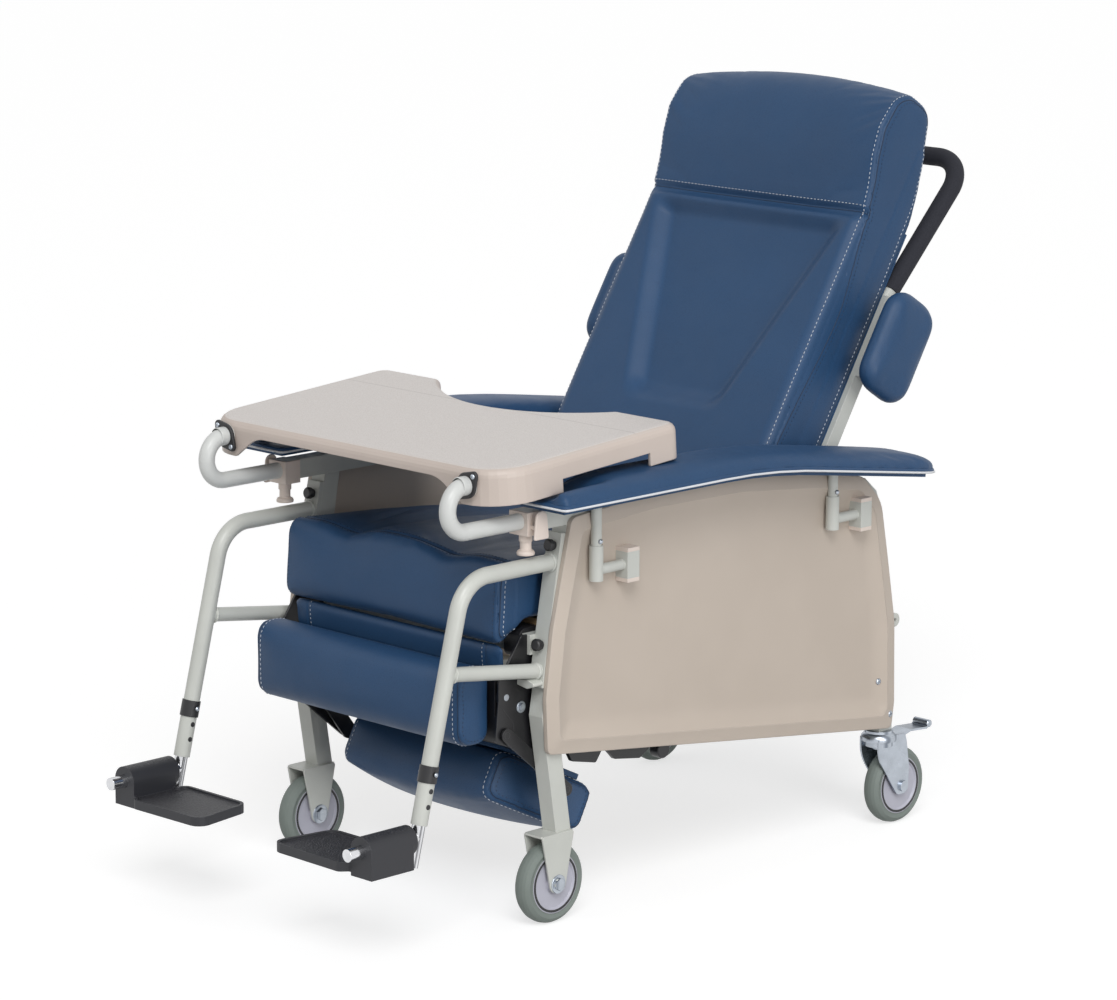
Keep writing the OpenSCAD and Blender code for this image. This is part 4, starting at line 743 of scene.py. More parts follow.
def seam_runs(sheet, point, normal, keep):
    """Runs of points with their outward directions where a plane cuts a cover."""
    sheet.edges.index_update()
    point, normal = Vector(point), Vector(normal).normalized()
    level = point.dot(normal) + 1e-7
    spots, links = {}, {}
    for face in near_plane(sheet, point, normal, cut_reach, keep):
        crossed = []
        for edge in face.edges:
            a, b = edge.verts
            da, db = a.co.dot(normal) - level, b.co.dot(normal) - level
            if da * db < 0:
                t = da / (da - db)
                spots[edge.index] = (a.co.lerp(b.co, t), a.normal.lerp(b.normal, t).normalized())
                crossed.append(edge.index)
        if len(crossed) == 2 and all(keep(spots[c][0]) for c in crossed):
            links.setdefault(crossed[0], []).append(crossed[1])
            links.setdefault(crossed[1], []).append(crossed[0])
    runs = []
    left = set(links)
    while left:
        ends = [c for c in left if len(links[c]) == 1]
        at = min(ends or left)
        run = []
        while at is not None:
            left.discard(at)
            run.append(spots[at])
            at = next((c for c in links[at] if c in left), None)
        if len(run) > 3:
            runs.append(run)
    return runs


def beside(sheet, runs, shift):
    """The runs moved by shift(point) and laid back on the cover."""
    skin = BVHTree.FromBMesh(sheet)
    moved = []
    for run in runs:
        moved.append([skin.find_nearest(p + shift(p))[:2] for p, n in run])
    return moved


def both_ends(sheet, x, keep):
    """Runs where the two upright planes at -x and x cut a cover."""
    return [run for side in (-1, 1) for run in seam_runs(sheet, (side * x, 0, 0), (1, 0, 0), keep)]


def guide_line(name, run, closed=False):
    """Curve object through a run of points."""
    curve = bpy.data.curves.new(name, "CURVE")
    curve.dimensions = "3D"
    line = curve.splines.new("POLY")
    line.points.add(len(run) - 1)
    line.use_cyclic_u = closed
    for point, to in zip(line.points, run):
        point.co = (*to, 1.0)
    guide = bpy.data.objects.new(name, curve)
    bpy.context.scene.collection.objects.link(guide)
    return guide


def stitch_row(name, runs, place, material, body, length=0.0052, step=0.0074, thick=0.0007):
    """Row of thread stitches: small rounded dashes set along the cover one after another."""
    row = bmesh.new()
    for run in runs:
        guide = guide_line(name + "_guide", [place @ (p + n * 0.3 * thick) for p, n in run])
        dash = bpy.data.meshes.new(name)
        one = bmesh.new()
        bmesh.ops.create_icosphere(one, subdivisions=1, radius=1.0)
        bmesh.ops.scale(one, vec=(length / 2, thick, thick), verts=one.verts)
        bmesh.ops.translate(one, vec=(step / 2, 0, 0), verts=one.verts)
        one.to_mesh(dash)
        one.free()
        dashes = bpy.data.objects.new(name, dash)
        bpy.context.scene.collection.objects.link(dashes)
        repeat = dashes.modifiers.new("Repeat", "ARRAY")
        repeat.fit_type = "FIT_CURVE"
        repeat.curve = guide
        repeat.use_relative_offset = False
        repeat.use_constant_offset = True
        repeat.constant_offset_displace = (step, 0, 0)
        follow = dashes.modifiers.new("Follow", "CURVE")
        follow.object = guide
        settle(dashes)
        row.from_mesh(dashes.data)
        bpy.data.objects.remove(dashes)
        bpy.data.objects.remove(guide)
    mesh = bpy.data.meshes.new(name)
    row.to_mesh(mesh)
    row.free()
    return new_piece(name, mesh, material, body)


def welt(name, runs, place, body, radius=0.0009, sink=0.0002):
    """Thin turned-in fold of vinyl along a seam, in a darker copy of the vinyl that paints the shade of the
    seam.
    """
    lines = [[place @ (p - n * sink) for p, n in run] for run in runs]
    return tube(name, lines, radius, seam_shade_vinyl, body)


# Darker copy of the navy vinyl: painted shade for the welts in the seams and for the fold under the headrest.
seam_shade_vinyl = vinyl("seam_shade_vinyl", screen(16, 30, 50), screen(22, 41, 66), screen(26, 47, 74))
white_thread = moulded("white_thread", screen(206, 212, 222), screen(220, 226, 234), 0.6, 3000.0, 0.0001)
navy_thread = moulded("navy_thread", screen(20, 34, 55), screen(50, 74, 106), 0.6, 3000.0, 0.0001)

seat_voxel, seat_draw_in, seat_swell = 0.006, 0.003, 0.007
seat_seam_x = 0.2335
seam_width, end_seam_depth, edge_seam_depth = 0.006, 0.0022, 0.0025
seat_lift, lift_deep, lift_rear, lift_run = 0.009, 0.10, 0.42, 0.25
needle_gap = 0.007
end_out, end_middle_y, end_middle_z, end_step = 0.012, 0.25, -0.06, 0.0065
seat_needle_dash, edge_dash = (0.003, 0.006, 0.0006), (0.0045, 0.0068, 0.0006)
edge_back, edge_gap = 0.028, 0.0085


def filled(p):
    """The seat's form with its front edge raised by a fuller filling."""
    q = seat_place.inverted() @ p
    upper = max(0.0, min(1.0, 1 + q.z / lift_deep))
    front = max(0.0, min(1.0, (lift_rear - q.y) / lift_run))
    q.z += seat_lift * upper * front
    return seat_place @ q


seat_cover = cover_of("seat_cushion", seat_voxel, seat_draw_in, filled)


def seat_front(p):
    """The part of the seat's section that shows: top, front and front lip."""
    return p.z > -0.126 and p.y < 0.47 and (p.z > -0.03 or p.y < 0.04)


def seat_edge(p):
    """The rolled front edge of the seat."""
    return p.y < 0.085 and p.z > -0.055 and abs(p.x) < seat_seam_x


def on_to_end(p):
    """Step from the seat's end seam on to its end panel, towards the middle of the panel."""
    way = Vector((end_out * p.x / abs(p.x), end_middle_y - p.y, end_middle_z - p.z))
    return way.normalized() * end_step


blow_up(
    seat_cover, seat_place,
    lambda p, n: (n.z < -0.6 and p.y > 0.05) or abs(abs(p.x) - seat_seam_x) < 0.004
    or (abs(p.y + p.z - edge_back) < 0.005 and seat_edge(p)) or p.y > 0.485, seat_swell)
sheet = open_cover(seat_cover, seat_place)
for side in (-1, 1):
    sew(sheet, (side * seat_seam_x, 0, 0), (1, 0, 0), seam_width, end_seam_depth, seat_front)
sew(sheet, (0, 0, edge_back), (0, 1, 1), seam_width, edge_seam_depth, seat_edge)
end_seams = both_ends(sheet, seat_seam_x, seat_front)
end_stitches = beside(sheet, end_seams, on_to_end)
end_holes = both_ends(sheet, seat_seam_x - needle_gap, seat_front)
edge_seam = seam_runs(sheet, (0, 0, edge_back), (0, 1, 1), seat_edge)
edge_stitches = [run for gap in (edge_gap, -edge_gap)
                 for run in seam_runs(sheet, (0, 0, edge_back + gap), (0, 1, 1), seat_edge)]
close_cover(seat_cover, sheet, seat_place)
finish_cover(seat_cover, "base", ["seat_cushion"], navy_vinyl)
# The welts wear the darker vinyl, as painted shade in the seams.
welt("seat_end_welts", end_seams, seat_place, "base")
welt("seat_edge_welt", edge_seam, seat_place, "base")
stitch_row("seat_end_stitches", end_stitches, seat_place, white_thread, "base")
stitch_row("seat_needle_row", end_holes, seat_place, navy_thread, "base", *seat_needle_dash)
stitch_row("seat_edge_stitches", edge_stitches, seat_place, navy_thread, "base", *edge_dash)


# Front apron
# Narrow padded flap of the same vinyl that closes the gap under the seat's front edge.
# Its two end pieces are sewn on with a single row of stitches.

apron_drop, apron_back = 0.024, 0.004
apron_voxel, apron_draw_in, apron_swell = 0.004, 0.0006, 0.002
apron_seam_x, apron_stitch_gap = 0.196, 0.006
apron_seam_width, apron_seam_depth = 0.005, 0.0012
apron_dash = (0.0042, 0.0066, 0.0005)
apron_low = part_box("front_apron")[0][2]
apron_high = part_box("front_apron")[1][2]


def let_down(p):
    """The apron's section drawn down behind the calf pad."""
    share = (apron_high - p.z) / (apron_high - apron_low)
    return Vector((p.x, p.y + apron_back * share, p.z - apron_drop * share))


apron_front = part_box("front_apron")[0][1]


def apron_face(p):
    """The front face of the apron."""
    return p.y < apron_front + 0.006


apron_cover = cover_of("front_apron", apron_voxel, apron_draw_in, let_down)
blow_up(apron_cover, Matrix.Identity(4), lambda p, n: n.y > 0.5, apron_swell)
sheet = open_cover(apron_cover, Matrix.Identity(4))
for side in (-1, 1):
    sew(sheet, (side * apron_seam_x, 0, 0), (1, 0, 0), apron_seam_width, apron_seam_depth, apron_face)
apron_stitches = both_ends(sheet, apron_seam_x - apron_stitch_gap, apron_face)
close_cover(apron_cover, sheet, Matrix.Identity(4))
finish_cover(apron_cover, "base", ["front_apron"], navy_vinyl)
stitch_row("apron_stitches", apron_stitches, Matrix.Identity(4), white_thread, "base", *apron_dash)


# Back cushion
# One long foam core under vinyl, hollowed in the middle, with a headrest that leans forward and
# rolls over the top. White stitches follow both front edges and the seam under the headrest.

back_place = (Matrix.Translation((0, 0.240, 0.450)) @ Matrix.Rotation(math.radians(-32.0), 4, "X")
              @ Matrix.Translation((0, -0.1305, 0)))
back_half = 0.240
back_voxel, back_draw_in, back_swell = 0.007, 0.003, 0.007
back_seam_x, back_seam_width, back_seam_depth = 0.2335, 0.007, 0.0022
headrest_seam, fold_width, fold_depth = 0.560, 0.011, 0.0055
stitch_gap, fold_stitch_gap = 0.0075, 0.0095
needle_dash = (0.0035, 0.0066, 0.0006)
needle_out, needle_rear = 0.006, 0.0065
rear_edge = [(0.0, 0.118), (0.491, 0.118), (0.629, 0.110), (0.694, 0.098), (0.752, 0.073), (0.790, 0.060)]
rear_push = [(0.0, 0.012), (0.560, 0.013), (0.629, 0.020), (0.694, 0.028), (0.752, 0.015), (0.790, 0.006)]


def ease(value, low, high):
    """Soft step from 0 at low to 1 at high."""
    share = min(1.0, max(0.0, (value - low) / (high - low)))
    return share * share * (3 - 2 * share)


def along(table, at):
    """Value between the rows of a table of (place, value)."""
    for (a, from_value), (b, to_value) in zip(table, table[1:]):
        if at <= b:
            return from_value + (to_value - from_value) * max(0.0, at - a) / (b - a)
    return table[-1][1]


def wrapped(p):
    """The back's form drawn to the rear, so that the cover takes in the board behind the foam."""
    q = back_place.inverted() @ p
    q.y += along(rear_push, q.z) * ease(q.y, 0.015, 0.085)
    return back_place @ q


back_cover = cover_of("back_cushion", back_voxel, back_draw_in, wrapped)


def back_front(p):
    """The front face of the back and the roll of the headrest over the top."""
    return p.y < 0.062 and p.z > 0.012 or p.z > 0.70


def below_headrest(p):
    """The front face close to the seam under the headrest."""
    return p.y < 0.06 and abs(p.x) < back_seam_x + 0.001


blow_up(
    back_cover, back_place,
    lambda p, n: (n.y > 0.7 and p.z < 0.58) or (abs(abs(p.x) - back_seam_x) < 0.0045 and p.y < 0.07)
    or (abs(p.z - headrest_seam) < 0.0045 and p.y < 0.07) or p.z < 0.02, back_swell)
sheet = open_cover(back_cover, back_place)

hollow_low, hollow_depth, slope_half = 0.185, 0.020, 0.020
hollow_half, hollow_flare, hollow_half_at = 0.098, 0.3125, 0.236
low_slope, top_gap, top_slope = 0.048, 0.010, 0.035
crown_edge, crown_middle = 0.003, 0.003
hem, hem_run = 0.02, 0.06
seam_hold, seam_free, fold_hold, fold_free = 0.002, 0.022, 0.006, 0.014
for v in sheet.verts:
    p = v.co
    if v.normal.y < -0.2 and hem < p.z < headrest_seam:
        half = hollow_half + hollow_flare * (p.z - hollow_half_at)
        inside = ease(half + slope_half - abs(p.x), 0.0, 2 * slope_half)
        inside *= ease(p.z, hollow_low, hollow_low + low_slope)
        level = hollow_depth * inside * ease(headrest_seam - top_gap - p.z, 0.0, top_slope)
        level -= crown_edge + crown_middle * (1 - (p.x / back_half) ** 2)
        hold = ease(back_seam_x - abs(p.x), seam_hold, seam_free) * ease(p.z, hem, hem_run)
        p.y += (level - p.y) * hold * ease(headrest_seam - fold_hold - p.z, 0.0, fold_free)
sheet.normal_update()
for side in (-1, 1):
    sew(sheet, (side * back_seam_x, 0, 0), (1, 0, 0), back_seam_width, back_seam_depth, back_front)
sew(sheet, (0, 0, headrest_seam), (0, 0, 1), fold_width, fold_depth, below_headrest)
back_seams = both_ends(sheet, back_seam_x, back_front)
back_stitches = both_ends(sheet, back_seam_x - stitch_gap, back_front)
back_needles = beside(sheet, back_seams, lambda p: Vector((needle_out * p.x / abs(p.x), needle_rear, 0)))
headrest_fold = seam_runs(sheet, (0, 0, headrest_seam), (0, 0, 1), below_headrest)
headrest_stitches = seam_runs(sheet, (0, 0, headrest_seam + fold_stitch_gap), (0, 0, 1),
                              lambda p: below_headrest(p) and abs(p.x) < back_seam_x - 0.006)
skin = BVHTree.FromBMesh(sheet)
beyond_back, rear_in, rear_pitch = 0.27, 0.010, 0.006
rear_first, rear_last = 8, 124
rear_rows = []
for side in (-1, 1):
    heights = [rear_pitch * step for step in range(rear_first, rear_last + 1)]
    rear_rows.append([skin.find_nearest(Vector((side * beyond_back, along(rear_edge, z) - rear_in, z)))[:2]
                      for z in heights])
close_cover(back_cover, sheet, back_place)
finish_cover(back_cover, "back", ["back_cushion"], navy_vinyl)
welt("back_edge_welts", back_seams, back_place, "back")
# The fold under the headrest is painted shade, in the darker vinyl.
welt("headrest_fold", headrest_fold, back_place, "back")
stitch_row("back_edge_stitches", back_stitches, back_place, white_thread, "back")
stitch_row("back_needle_row", back_needles, back_place, navy_thread, "back", *needle_dash)
stitch_row("headrest_stitches", headrest_stitches, back_place, white_thread, "back")
stitch_row("back_rear_stitches", rear_rows, back_place, white_thread, "back")


# Wing pads and push handle
# A soft rounded pad stands beside the back on each side, on flat steel brackets. The push handle
# behind the headrest wears a sleeve of black foam.

wing_voxel, wing_draw_in, wing_swell, wing_pressure = 0.0045, 0.003, 0.004, 2.0
wing_cover = cover_of("wing_pads", wing_voxel, wing_draw_in)
blow_up(wing_cover, Matrix.Identity(4), lambda p, n: False, wing_swell, wing_pressure)
finish_cover(wing_cover, "back", ["wing_pads"], navy_vinyl)


def foam_sleeve():
    """Black closed-cell foam: dull, with open pores painted darker as shade in their pits, and a matt skin.
    """
    material, tree, shader, place = begin_material("foam_sleeve", 0.82, specular=0.3)
    pores = cells(tree, place, 900.0, "F1")
    # Painted shade: the pits of the pores are darker than the skin round them.
    body = mixed(tree, span(tree, pores, 0.2, 0.7, 0.0, 1.0), screen(34, 35, 42), screen(46, 47, 54))
    tree.links.new(body, shader.inputs["Base Color"])
    bump(tree, shader, pores, 0.0004, 0.5)
    return material


dress(foam_sleeve(), "handle_grip")


# Calf pad and foot pad
# Two firm pads of the folding leg rest, boxed like the seat: a rolled face panel between two flat
# end panels. The foot pad is drawn to a wedge, narrow towards the calf pad and wide at its free end.

calf_place = Matrix.Translation((0, -0.413, 0.342))
foot_place = Matrix.Translation((0, -0.275, 0.200)) @ Matrix.Rotation(math.radians(-28.0), 4, "X")
pad_voxel, pad_draw_in, pad_swell = 0.005, 0.0028, 0.0055
pad_seam_width, pad_seam_depth = 0.006, 0.002
calf_seam_x = 0.2205
foot_cad_half, foot_cad_wide, foot_cad_flare = 0.085, 0.210, 0.015
foot_front, foot_rear = -0.042, 0.112
foot_taper = 0.48
foot_mid_half, foot_seam_in = 0.183, 0.006
foot_keep, foot_rise = 0.78, 0.006


def stowed(p):
    """The foot pad's form drawn to a wedge: narrow towards the calf pad, wide at its free end."""
    q = foot_place.inverted() @ p
    share = q.y / foot_cad_half
    y = foot_front + (foot_rear - foot_front) * (q.y + foot_cad_half) / (2 * foot_cad_half)
    wide = q.x / (foot_cad_wide + foot_cad_flare * share)
    z = q.z + (foot_rise if q.z > 0 else 0.0)
    return foot_place @ Vector((wide * (foot_mid_half + foot_taper * y), y, z))


def pad_cover(node, place, body, seam_x, taper, rests, front, form=None):
    """Cover of one leg pad with its end seams, which close in by a taper, and stitches."""
    cover = cover_of(node, pad_voxel, pad_draw_in, form)
    blow_up(cover, place, lambda p, n: rests(n) or abs(abs(p.x) - seam_x - taper * p.y) < 0.0035, pad_swell)
    sheet = open_cover(cover, place)
    for side in (-1, 1):
        sew(sheet, (side * seam_x, 0, 0), (side, -taper, 0), pad_seam_width, pad_seam_depth, front)
    seams, rows = [], []
    for side in (-1, 1):
        seams += seam_runs(sheet, (side * seam_x, 0, 0), (side, -taper, 0), front)
        rows += seam_runs(sheet, (side * (seam_x - stitch_gap), 0, 0), (side, -taper, 0), front)
    ends = beside(sheet, seams, lambda p: Vector((needle_out * p.x / abs(p.x),
                                                  *(-needle_rear * p.yz.normalized()))))
    close_cover(cover, sheet, place)
    finish_cover(cover, body, [node], navy_vinyl)
    return [cover, welt(node + "_welts", seams, place, body),
            stitch_row(node + "_stitches", rows, place, white_thread, body),
            stitch_row(node + "_needle_row", ends, place, navy_thread, body, *needle_dash)]


pad_cover("calf_pad", calf_place, "calf_rest", calf_seam_x, 0.0, lambda n: n.y > 0.7, lambda p: p.y < 0.020)
foot_pieces = pad_cover("foot_pad", foot_place, "leg_rest", foot_mid_half - foot_seam_in, foot_taper,
                        lambda n: n.z > 0.7, lambda p: p.z < 0.030, stowed)
for piece in foot_pieces:
    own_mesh(piece)

# Stiff wedge board under the foot pad, and the flat bar across its end that the link bars carry.
board_low, board_thick = 0.030, 0.009
board_side, board_before, board_behind, board_round = 0.022, 0.012, 0.026, 0.006
wedge = [(side * (foot_mid_half + foot_taper * y - board_side), y, board_round)
         for side in (-1, 1) for y in (foot_front + board_before, foot_rear - board_behind)]
board = plate_round(wedge, board_thick, foot_place @ Matrix.Translation((0, 0, board_low)))
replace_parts(gather("foot_board_wrap", [board], navy_vinyl, "leg_rest"), "foot_board")
bar_y, bar_half = -0.026, 0.2355
bar_before, bar_behind, bar_round, bar_thick, bar_rise = 0.010, 0.014, 0.003, 0.004, 0.0055
bar_corners = [(x, y, bar_round)
               for y in (bar_y - bar_before, bar_y + bar_behind) for x in (-bar_half, bar_half)]
pad_bar = plate_round(bar_corners, bar_thick, foot_place @ Matrix.Translation((0, 0, board_low + bar_rise)))
gather("foot_pad_bar", [pad_bar], black_steel, "leg_rest")


# Tray
# Moulded beige tray with a rounded lip, a body cut-out and an arched front apron. It slides on two
# white painted tubes that run into the top rails and are held by a clamp on each side.

tray_place = Matrix.Translation((0, -0.084, 0.738)) @ Matrix.Rotation(math.radians(4.3), 4, "X")
fold_line = 0.090


def tray_moulding():
    """Beige moulding: pebbled on top and painted paler there as light from above, smoother on its sides, with
    a painted dark line along one straight groove.
    """
    material, tree, shader, place = begin_material("tray_moulding", 0.48, specular=0.45)
    pebble = cells(tree, place, 560.0, "F1")
    clouds = span(tree, noise(tree, place, 6.0, 3.0), 0.3, 0.7, 0.0, 1.0)
    surface = tree.nodes.new("ShaderNodeNewGeometry")
    split = tree.nodes.new("ShaderNodeSeparateXYZ")
    tree.links.new(surface.outputs["Normal"], split.inputs["Vector"])
    # Painted light: faces that point up get a paler colour than the sides, as if lit from above; the pebble
    # on them is real.
    upward = span(tree, split.outputs["Z"], 0.8, 0.98, 0.0, 1.0)
    sides = mixed(tree, clouds, screen(200, 187, 178), screen(205, 192, 183))
    top = mixed(tree, span(tree, pebble, 0.1, 0.6, 0.0, 1.0), screen(206, 199, 194), screen(220, 214, 210))
    edges, rounded = arris(tree, 0.002)
    body = mixed(tree, upward, sides, top)
    level = tree.nodes.new("ShaderNodeMapping")
    level.vector_type = "TEXTURE"
    level.inputs["Location"].default_value = tray_place.to_translation()
    level.inputs["Rotation"].default_value = tray_place.to_euler()
    tree.links.new(place, level.inputs["Vector"])
    depth = tree.nodes.new("ShaderNodeSeparateXYZ")
    tree.links.new(level.outputs["Vector"], depth.inputs["Vector"])
    off = tree.nodes.new("ShaderNodeMath")
    off.operation = "ADD"
    off.inputs[1].default_value = fold_line
    tree.links.new(depth.outputs["Y"], off.inputs[0])
    far = tree.nodes.new("ShaderNodeMath")
    far.operation = "ABSOLUTE"
    tree.links.new(off.outputs[0], far.inputs[0])
    # Painted shade: a thin darker line on the top where the groove runs, which has no relief of its own.
    groove_shade = span(tree, far.outputs[0], 0.0005, 0.0022, 1.0, 0.0)
    shown_groove_shade = tree.nodes.new("ShaderNodeMath")
    shown_groove_shade.operation = "MULTIPLY"
    tree.links.new(groove_shade, shown_groove_shade.inputs[0])
    tree.links.new(upward, shown_groove_shade.inputs[1])
    body = mixed(tree, span(tree, shown_groove_shade.outputs[0], 0.0, 1.0, 0.0, 0.45), body, screen(176, 168, 163))
    tree.links.new(mixed(tree, span(tree, edges, 0.0, 1.0, 0.0, 0.3), body, screen(220, 212, 206)),
                   shader.inputs["Base Color"])
    tree.links.new(span(tree, pebble, 0.1, 0.6, 0.55, 0.42), shader.inputs["Roughness"])
    bump(tree, shader, pebble, 0.00025, 0.4, rounded)
    return material


dress(tray_moulding(), "tray")
tube_white = moulded("tube_white", screen(216, 218, 216), screen(230, 231, 229), 0.32, 420.0, 0.0001)
dress(tube_white, "tray_tubes")

flange_y, flange_z = -0.4628, 0.686
flange_thick, flange_edge, flange_radius = 0.0050, 0.001, 0.0192
ear_out, ear_radius = 0.0150, 0.0075
flange_screw_radius, flange_screw_rise = 0.0042, 0.0049
ferrule = [(0.0130, 0.004), (0.0142, 0.0045), (0.0142, 0.0185), (0.0130, 0.0195)]
lever_x, lever_thick, lever_edge = 0.2970, 0.0045, 0.0012
lever_corners = [(-0.3585, 0.597, 0.003), (-0.3355, 0.597, 0.003), (-0.347, 0.6255, 0.0115)]
flanges, flange_screws, ferrules, levers = [], [], [], []
for side in (-1, 1):
    stand = Matrix.Translation((side * frame_x, flange_y, flange_z)) @ lying
    ear = Vector((-side * ear_out, -ear_out, 0.0))
    discs = [(0, 0, flange_radius), (ear.x, ear.y, ear_radius), (-ear.x, -ear.y, ear_radius)]
    flanges.append(plate_round(discs, flange_thick, stand, flange_edge))
    for way in (-1, 1):
        screw_place = stand @ Matrix.Translation(way * ear + Vector((0, 0, flange_screw_rise)))
        flange_screws.append(pan_screw(screw_place, flange_screw_radius))
    ferrules.append(turned(ferrule, stand))
    lever_place = Matrix.Translation((side * lever_x - lever_thick / 2, 0, 0)) @ upright_plane
    levers.append(plate_round(lever_corners, lever_thick, lever_place, lever_edge))
gather("tray_flanges", flanges, black_plastic, "tray_unit")
gather("tray_flange_screws", flange_screws, zinc_plate, "tray_unit")
gather("tray_ferrules", ferrules, tube_white, "tray_unit")
gather("clamp_levers", levers, pale_plastic, "base")


# Footrests
# Plated tubes slide in the hangers and end in a pivot; a black moulded footplate with a fine tread
# folds up on each pivot.

dress(chrome_plate, "footrest_slider_left", "footrest_slider_right")


def tread_plastic():
    """Black moulding with a fine tread of raised studs on its upper side, painted paler on their crowns and
    darker between them as light and shade.
    """
    material, tree, shader, place = begin_material("tread_plastic", 0.5)
    studs = cells(tree, place, 300.0, "F1")
    surface = tree.nodes.new("ShaderNodeNewGeometry")
    split = tree.nodes.new("ShaderNodeSeparateXYZ")
    tree.links.new(surface.outputs["True Normal"], split.inputs["Vector"])
    upward = span(tree, split.outputs["Z"], 0.8, 0.95, 0.0, 1.0)
    # Painted light and shade: the studs' crowns are paler and the ground between them darker.
    tread = mixed(tree, span(tree, studs, 0.1, 0.6, 0.0, 1.0), screen(60, 61, 66), screen(36, 36, 40))
    edges, rounded = arris(tree, 0.0015)
    body = mixed(tree, upward, screen(38, 39, 44), tread)
    tree.links.new(mixed(tree, span(tree, edges, 0.0, 1.0, 0.0, 0.5), body, screen(72, 73, 78)),
                   shader.inputs["Base Color"])
    raised = tree.nodes.new("ShaderNodeMath")
    raised.operation = "MULTIPLY"
    tree.links.new(span(tree, studs, 0.0, 0.6, 1.0, 0.0), raised.inputs[0])
    tree.links.new(upward, raised.inputs[1])
    bump(tree, shader, raised.outputs[0], 0.0009, 0.7, rounded)
    return material


dress(tread_plastic(), "footplate_left", "footplate_right")

drop_lean = math.radians(14.4)
drop_way = Vector((0, -math.sin(drop_lean), -math.cos(drop_lean)))
drop_top = Vector((0, -0.472, 0.548))
hole_downs, hole_out = (0.3065, 0.3295), 0.0123
catch_down, catch_out = 0.2815, 0.0166
small_steps = 16
# Painted shade: black discs on both faces of the hanger tubes stand for the dark inside of the height holes.
hole = [(0.0, 0.0003), (0.0026, 0.0003), (0.0036, 0.0008), (0.0040, 0.0)]
catch = [(0.0, 0.0026), (0.002, 0.0022), (0.0034, 0.0008), (0.0036, 0.0)]
hole_shades, catches = [], []
for side in (-1, 1):
    for face in (-1, 1):
        for down in hole_downs:
            spot = drop_top + drop_way * down + Vector((side * frame_x + face * hole_out, 0, 0))
            hole_shades.append(turned(hole, facing(spot, (face, 0, 0)), small_steps))
        spot = drop_top + drop_way * catch_down + Vector((side * frame_x + face * catch_out, 0, 0))
        catches.append(turned(catch, facing(spot, (face, 0, 0)), small_steps))
gather("height_hole_shades", hole_shades, black_plastic, "base")
gather("height_catches", catches, zinc_plate, "base")


# Wheels
# Grey rubber tyres on lilac-grey plastic hubs. The front pair turns in painted forks, the rear
# pair in zinc plated swivel forks with a brake pedal.

tyre_rubber = moulded("tyre_rubber", screen(122, 131, 126), screen(146, 153, 148), 0.66, 1200.0, 0.0001)
hub_plastic = moulded("hub_plastic", screen(186, 186, 198), screen(202, 202, 212), 0.45, 700.0, 0.0001)
for wheel in ("front", "rear"):
    for side in ("left", "right"):
        dress(tyre_rubber, f"{wheel}_tyre_{side}")
        dress(hub_plastic, f"{wheel}_hub_{side}")
axle_z, front_axle_y, rear_axle_y = 0.0625, -0.298, 0.484
hub_face, hub_ring_steps = 0.01395, 64
hub_ring = [(0.0408, 0.0), (0.0412, 0.0009), (0.0442, 0.0009), (0.0446, 0.0)]
for wheel, axle_y in (("front", front_axle_y), ("rear", rear_axle_y)):
    for side, name in ((1, "left"), (-1, "right")):
        rings = []
        for face in (-1, 1):
            middle = (side * frame_x + face * hub_face, axle_y, axle_z)
            rings.append(turned(hub_ring, facing(middle, (face, 0, 0)), hub_ring_steps))
        gather(f"{wheel}_hub_ring_{name}", rings, black_plastic, f"{wheel}_wheel_{name}")

fork_half, fork_bolt_height = 0.020, 0.0062
bolt_across, nut_across = 0.0175, 0.0185
fork_bolts = []
for side in (-1, 1):
    for face, across in ((side, bolt_across), (-side, nut_across)):
        end = (side * frame_x + face * fork_half, front_axle_y, axle_z)
        fork_bolts += hex_bolt(facing(end, (face, 0, 0)), across, fork_bolt_height)
gather("fork_bolts", fork_bolts, zinc_plate, "base")

roll_long, roll_half, roll_edge, roll_end = 0.033, 0.0062, 0.0015, 0.0045
roll = [(0.0, 0.0), (roll_end, 0.0), (roll_half, roll_edge), (roll_half, roll_long - roll_edge),
        (roll_end, roll_long), (0.0, roll_long)]
roll_back, roll_down = 0.004, 0.003
swivel_y, dome_steps = 0.446, 40
dome = [(0.0232, -0.0130), (0.0285, -0.0125), (0.0295, -0.0095), (0.0285, -0.0040), (0.0245, 0.0005),
        (0.0190, 0.0020)]
for side, name in ((1, "left"), (-1, "right")):
    low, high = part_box(f"brake_pedal_{name}")
    spot = ((low[0] + high[0]) / 2 - roll_long / 2, high[1] - roll_back, high[2] - roll_down)
    pedal_roll = turned(roll, facing(spot, (1, 0, 0)))
    gather(f"pedal_roll_{name}", [pedal_roll], zinc_plate, f"brake_pedal_{name}")
    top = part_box(f"caster_fork_{name}")[1][2]
    race_dome = turned(dome, Matrix.Translation((side * frame_x, swivel_y, top)), dome_steps)
    gather(f"caster_dome_{name}", [race_dome], zinc_plate, f"caster_{name}")
dress(zinc_plate, "caster_stems", "caster_fork_left", "caster_fork_right", "brake_pedal_left",
      "brake_pedal_right")


# Studio
# White sweep of floor under a soft key light above the camera, a weak box on its left and a fill
# on its right, and the camera of the photograph.

floor_radius, floor_glow, sky_strength = 40.0, 0.66, 0.34
floor_mesh = bpy.data.meshes.new("floor")
ground = bmesh.new()
bmesh.ops.create_circle(ground, cap_ends=True, segments=64, radius=floor_radius)
ground.to_mesh(floor_mesh)
ground.free()
floor = bpy.data.objects.new("floor", floor_mesh)
bpy.context.scene.collection.objects.link(floor)


